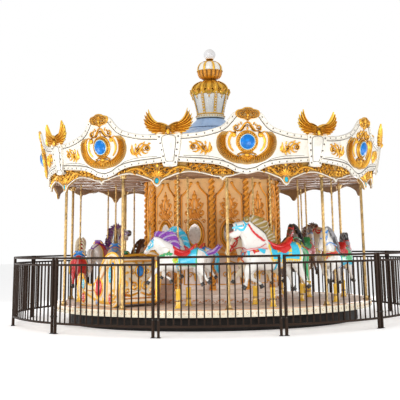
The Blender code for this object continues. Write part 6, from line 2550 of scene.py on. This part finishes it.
def build_carriage(palette):
    palette = dict(
        palette,
        medallion=paint("medallion_paint", (0.01, 0.21, 0.62), 0.2, 0.8),
        azure=paint("azure_paint", HORSE_PAINTS["cyan"], 0.25, 0.6),
        rose=paint("rose_paint", HORSE_PAINTS["red"], 0.25, 0.6),
        cream=paint("carriage_cream_paint", (0.84, 0.70, 0.50), 0.24, 0.6),
    )
    form = Form()
    outline = closed_curve(CARRIAGE_SIDE, 4)
    outline[:, 1] = np.maximum(outline[:, 1], DECK_TOP + 0.004)
    relief = side_relief()
    for side in (-1, 1):
        near, far = side * (CARRIAGE_HALF - CARRIAGE_WALL), side * CARRIAGE_HALF

        def stand(points):
            x, z, out = np.asarray(points, float).T
            return np.stack([x, far + side * out * 0.55 - side * 0.004, z], 1)

        wall = slab(outline, 0.0, 1.0)
        x, z, out = wall[0].T
        form.add((np.stack([x, near + (far - side * 0.004 - near) * out, z], 1), wall[1]), "cream")
        form.take(relief, stand)
    inside = CARRIAGE_HALF - CARRIAGE_WALL - 0.001
    for profile, finish in (
        ([(-0.50, 0.36), (0.50, 0.36), (0.52, 0.375), (0.50, 0.40), (-0.50, 0.40)], "deck"),
        ([(-0.52, 0.38), (-0.12, 0.38), (-0.10, 0.40), (-0.10, 0.64), (-0.12, 0.66), (-0.52, 0.66)],
         "cream"),
        ([(-0.60, 0.40), (-0.53, 0.40), (-0.53, 0.62), (-0.535, 1.10), (-0.55, 1.12), (-0.585, 1.12),
          (-0.60, 1.10)], "cream"),
    ):
        flat = np.array(profile)
        points = np.concatenate([np.c_[flat[:, 0], np.full(len(flat), y), flat[:, 1]]
                                 for y in (-inside, inside)])
        form.add((points, ring_faces(2, len(flat))), finish)
    form.take(back_relief(), lambda points: np.stack([-0.598 - points[:, 2], points[:, 0], points[:, 1]],
                                                     1))
    for y in np.linspace(-0.30, 0.30, 5):
        slat = [(-0.096, y - 0.055, 0.43), (-0.096, y + 0.055, 0.43), (-0.096, y + 0.055, 0.61),
                (-0.096, y - 0.055, 0.61), (-0.096, y - 0.055, 0.43)]
        form.add(tube([(*point, 0.006, 0.006) for point in slat], 5, (1, 0, 0)), "gold")
    rail = [(-0.565, y, 1.125 + 0.035 * math.cos(y * 4.0)) for y in np.linspace(-0.37, 0.37, 13)]
    form.add(tube([(*point, 0.022, 0.022) for point in rail], 8, (1, 0, 0)), "gold")
    palette["deck"] = paint("carriage_floor_paint", shade(colours().deck, 0.6), 0.5, 0.1)
    body = form.mesh("carriage_body", palette, 40)
    place = ring_place(CARRIAGE_CIRCLE, CARRIAGE_ANGLE)
    body.transform(place)
    add_piece("carriage_body", body, "turntable", ["carriage"])
    cloth = leather()
    seat = padded_block((-0.515, -0.36, 0.662), (-0.095, 0.36, 0.735), 4, 7)
    back = padded_block((-0.528, -0.36, 0.745), (-0.462, 0.36, 1.085), 3, 7, upright=True)
    for name, mesh in (("seat_cushion", seat), ("back_cushion", back)):
        swell(mesh)
        mesh.transform(place)
        mesh.materials.clear()
        mesh.materials.append(cloth)
        piece = add_piece(name, mesh, "turntable")


def leather():
    """Red buttoned leather: fine grain and patchy wear."""
    material, tree, shader, place = new_material("red_leather")
    grain = wire(tree, "ShaderNodeTexVoronoi", {"Vector": place, "Scale": 260.0})
    wear = noise(tree, place, 12.0, 5.0)
    tone = ramp(tree, wear, ((0.3, (0.20, 0.006, 0.008)), (0.55, (0.36, 0.014, 0.014)),
                             (0.8, (0.50, 0.04, 0.03))))
    feed(tree, tone, shader, "Base Color")
    feed(tree, spread(tree, wear, 0.32, 0.55), shader, "Roughness")
    add_bump(tree, shader, grain.outputs["Distance"], 0.0006, 0.5)
    return material


def padded_block(low, high, rows, columns, upright=False):
    """Cushion before it is blown up: a soft-cornered block with dimples where its buttons pull it in."""
    low, high = np.array(low), np.array(high)
    bm = bmesh.new()
    bmesh.ops.create_cube(bm, size=1.0)
    bmesh.ops.subdivide_edges(bm, edges=bm.edges[:], cuts=27, use_grid_fill=True)
    middle, size = (low + high) / 2, high - low
    thin = 0 if upright else 2
    along, across = (2, 1) if upright else (0, 1)
    for vertex in bm.verts:
        local = np.array(vertex.co) * 2
        face = local[thin] > 0.98
        pull = (1 - abs(local[along]) ** 6) * (1 - abs(local[across]) ** 6)
        place = np.array(vertex.co)
        place[along] *= 1 - 0.03 * local[across] ** 2
        place = middle + place * size * 0.97
        if face:
            u = (local[along] + 1) / 2 * rows
            v = (local[across] + 1) / 2 * columns
            lines = min(abs(u - round(u)), 0.5) * 2, min(abs(v - round(v)), 0.5) * 2
            dip = math.exp(-((lines[0] / 0.35) ** 2)) + math.exp(-((lines[1] / 0.35) ** 2))
            place[thin] -= 0.010 * dip * pull
            place[thin] -= 0.012 * (1 - pull)
        vertex.co = place
    mesh = bpy.data.meshes.new("cushion")
    bm.to_mesh(mesh)
    bm.free()
    return mesh


# How far a point of a cushion may move when it is blown up
CUSHION_CAP = 0.008


def swell(mesh):
    """Blows the cushion up as cloth under pressure, with a cap on how far a point may move."""
    scene = bpy.context.scene
    piece = bpy.data.objects.new("cushion", mesh.copy())
    scene.collection.objects.link(piece)
    before = np.array([tuple(vertex.co) for vertex in mesh.vertices])
    cloth = piece.modifiers.new("Swell", "CLOTH")
    cloth.settings.use_pressure = True
    cloth.settings.uniform_pressure_force = 4.0
    cloth.settings.effector_weights.gravity = 0.0
    cloth.point_cache.frame_start, cloth.point_cache.frame_end = 1, 20
    for step in range(1, 21):
        scene.frame_set(step)
    graph = bpy.context.evaluated_depsgraph_get()
    swollen = bpy.data.meshes.new_from_object(piece.evaluated_get(graph), depsgraph=graph)
    after = np.array([tuple(vertex.co) for vertex in swollen.vertices])
    move = after - before
    far = np.linalg.norm(move, axis=1)[:, None]
    move *= np.minimum(1.0, CUSHION_CAP / np.maximum(far, 1e-6))
    mesh.vertices.foreach_set("co", (before + move).ravel())
    bpy.data.objects.remove(piece)
    bpy.data.meshes.remove(swollen)
    scene.frame_set(1)
    finish_shading(mesh, 180)



# Stage


CAMERA_DISTANCE, CAMERA_HEIGHT, CAMERA_PITCH, CAMERA_ROLL = 16.826, 1.291, 13.11, 0.826
CAMERA_LENS, CAMERA_SHIFT = 78.93, (-0.02336, -0.3964)
SKY_LIGHT, KEY_POWER = 0.70, 560.0
FLOOR_GLOW = 0.24
# Low lights round the ride that brighten what stands under the canopy
LOW_LIGHTS, LOW_LIGHT_CIRCLE, LOW_LIGHT_POWER = 8, 7.5, 115.0


def build_camera():
    camera = bpy.data.cameras.new("camera")
    camera.lens, camera.sensor_width = CAMERA_LENS, 36.0
    camera.shift_x, camera.shift_y = CAMERA_SHIFT
    camera.clip_end = 200.0
    seen = bpy.data.objects.new("camera", camera)
    bpy.context.scene.collection.objects.link(seen)
    tilt = Matrix.Rotation(math.radians(90 + CAMERA_PITCH), 4, "X")
    roll = Matrix.Rotation(math.radians(-CAMERA_ROLL), 4, "Z")
    seen.matrix_world = Matrix.Translation((0, -CAMERA_DISTANCE, CAMERA_HEIGHT)) @ tilt @ roll
    bpy.context.scene.camera = seen


def build_floor():
    """Plain pale floor with a soft mottle."""
    reach = 60.0
    bm = bmesh.new()
    corners = [bm.verts.new((x * reach, y * reach, -0.002))
               for x, y in ((-1, -1), (1, -1), (1, 1), (-1, 1))]
    bm.faces.new(corners)
    mesh = bpy.data.meshes.new("floor")
    bm.to_mesh(mesh)
    bm.free()
    material, tree, shader, place = new_material("floor_paint")
    tone = ramp(tree, noise(tree, place, 1.2, 4.0),
                ((0.3, (0.93, 0.93, 0.93)), (0.7, (0.96, 0.96, 0.96))))
    feed(tree, tone, shader, "Base Color")
    shader.inputs["Roughness"].default_value = 0.8
    shader.inputs["Emission Color"].default_value = (1, 1, 1, 1)
    shader.inputs["Emission Strength"].default_value = FLOOR_GLOW
    mesh.materials.append(material)
    floor = bpy.data.objects.new("floor", mesh)
    bpy.context.scene.collection.objects.link(floor)
    floor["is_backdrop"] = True


def build_light():
    world = bpy.data.worlds.new("studio")
    world.use_nodes = True
    world.node_tree.nodes["Background"].inputs["Color"].default_value = (1.0, 1.0, 1.0, 1)
    # white behind the ride, a little less light from the sky on it
    seen = wire(world.node_tree, "ShaderNodeLightPath").outputs["Is Camera Ray"]
    strength = spread(world.node_tree, seen, SKY_LIGHT, 1.0)
    world.node_tree.links.new(strength.outputs[0], world.node_tree.nodes["Background"].inputs["Strength"])
    bpy.context.scene.world = world
    lights = [("key", (-7.0, -13.0, 10.0), (0, 0, 1.8), KEY_POWER, 5.0)]
    for i in range(LOW_LIGHTS):
        turn = 2 * math.pi * (i + 0.5) / LOW_LIGHTS
        place = (LOW_LIGHT_CIRCLE * math.sin(turn), -LOW_LIGHT_CIRCLE * math.cos(turn), 0.6)
        lights.append((f"low_{i + 1}", place, (0, 0, 1.8), LOW_LIGHT_POWER, 2.4))
    for name, place, aim, power, size in lights:
        light = bpy.data.lights.new(name, "AREA")
        light.energy, light.size = power, size
        lamp = bpy.data.objects.new(name, light)
        bpy.context.scene.collection.objects.link(lamp)
        lamp.visible_camera = False
        way = Vector(aim) - Vector(place)
        lamp.matrix_world = Matrix.Translation(place) @ way.to_track_quat("-Z", "Y").to_matrix().to_4x4()
    bpy.context.scene.view_settings.view_transform = "Standard"


def build_stage():
    build_camera()
    build_floor()
    build_light()


# Operators and panel


class CAROUSEL_OT_stage(Operator):
    """Camera at the picture's angle, pale floor and soft light"""

    bl_idname = "carousel.stage"
    bl_label = "Stage"

    def execute(self, context):
        build_stage()
        return {"FINISHED"}


class CAROUSEL_OT_fence(Operator):
    """Twelve curved panels with their posts, foot plates and clips"""

    bl_idname = "carousel.fence"
    bl_label = "Ring fence"

    def execute(self, context):
        build_fence(finishes())
        return {"FINISHED"}


class CAROUSEL_OT_plinth(Operator):
    """Ribs and rails in the dark recess under the deck"""

    bl_idname = "carousel.plinth"
    bl_label = "Plinth"

    def execute(self, context):
        dress_plinth(finishes())
        return {"FINISHED"}


class CAROUSEL_OT_deck(Operator):
    """Turning deck and the sleeves of the horse poles"""

    bl_idname = "carousel.deck"
    bl_label = "Deck"

    def execute(self, context):
        build_deck(finishes())
        return {"FINISHED"}


class CAROUSEL_OT_deck_band(Operator):
    """Cream moulding round the deck, with its lamps"""

    bl_idname = "carousel.deck_band"
    bl_label = "Deck band"

    def execute(self, context):
        build_band(finishes())
        return {"FINISHED"}


class CAROUSEL_OT_canopy(Operator):
    """Posts, ceiling ribs and the roof skirt"""

    bl_idname = "carousel.canopy"
    bl_label = "Canopy"

    def execute(self, context):
        build_canopy(finishes())
        return {"FINISHED"}


class CAROUSEL_OT_crown(Operator):
    """Ribbed crown with its ball"""

    bl_idname = "carousel.crown"
    bl_label = "Crown"

    def execute(self, context):
        build_crown(finishes())
        return {"FINISHED"}


class CAROUSEL_OT_boards(Operator):
    """Boards with gems, feathers, scrolls and winged shields"""

    bl_idname = "carousel.boards"
    bl_label = "Rounding boards"

    def execute(self, context):
        build_boards(finishes())
        return {"FINISHED"}


class CAROUSEL_OT_valance(Operator):
    """Hanging edge with scrolls and stones"""

    bl_idname = "carousel.valance"
    bl_label = "Valance"

    def execute(self, context):
        build_valance(finishes())
        return {"FINISHED"}


class CAROUSEL_OT_drum(Operator):
    """Panels, columns and mirrors of the machine housing"""

    bl_idname = "carousel.drum"
    bl_label = "Centre drum"

    def execute(self, context):
        build_drum(finishes())
        return {"FINISHED"}


class CAROUSEL_OT_horses(Operator):
    """Eighteen carved and harnessed horses on twisted poles"""

    bl_idname = "carousel.horses"
    bl_label = "Horses"

    def execute(self, context):
        build_horses(finishes())
        return {"FINISHED"}


class CAROUSEL_OT_carriage(Operator):
    """Scrolled carriage with its two padded cushions"""

    bl_idname = "carousel.carriage"
    bl_label = "Carriage"

    def execute(self, context):
        build_carriage(finishes())
        return {"FINISHED"}


OPERATORS = (
    CAROUSEL_OT_stage,
    CAROUSEL_OT_fence,
    CAROUSEL_OT_plinth,
    CAROUSEL_OT_deck,
    CAROUSEL_OT_deck_band,
    CAROUSEL_OT_canopy,
    CAROUSEL_OT_crown,
    CAROUSEL_OT_boards,
    CAROUSEL_OT_valance,
    CAROUSEL_OT_drum,
    CAROUSEL_OT_horses,
    CAROUSEL_OT_carriage,
)


class CAROUSEL_PT_dressing(Panel):
    """Sizes, colours and builders of the carousel"""

    bl_label = "Carousel"
    bl_idname = "CAROUSEL_PT_dressing"
    bl_space_type = "VIEW_3D"
    bl_region_type = "UI"
    bl_category = "Carousel"

    def draw(self, context):
        for group in (context.scene.carousel_sizes, context.scene.carousel_colours):
            column = self.layout.column()
            for name in group.__annotations__:
                column.prop(group, name)
        for operator in OPERATORS:
            self.layout.operator(operator.bl_idname)


CLASSES = (CarouselSizes, CarouselColours, *OPERATORS, CAROUSEL_PT_dressing)


def register():
    for made in CLASSES:
        bpy.utils.register_class(made)
    bpy.types.Scene.carousel_sizes = PointerProperty(type=CarouselSizes)
    bpy.types.Scene.carousel_colours = PointerProperty(type=CarouselColours)


def unregister():
    del bpy.types.Scene.carousel_colours
    del bpy.types.Scene.carousel_sizes
    for made in reversed(CLASSES):
        bpy.utils.unregister_class(made)


def corners(box):
    return [[round(value, 5) for value in corner] for corner in box]


def main():
    register()
    for operator in OPERATORS:
        getattr(bpy.ops.carousel, operator.bl_idname.split(".")[1])()
    {"cad": corners(CAD_BOX), "visual": corners(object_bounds())}


if __name__ == "__main__":
    main()
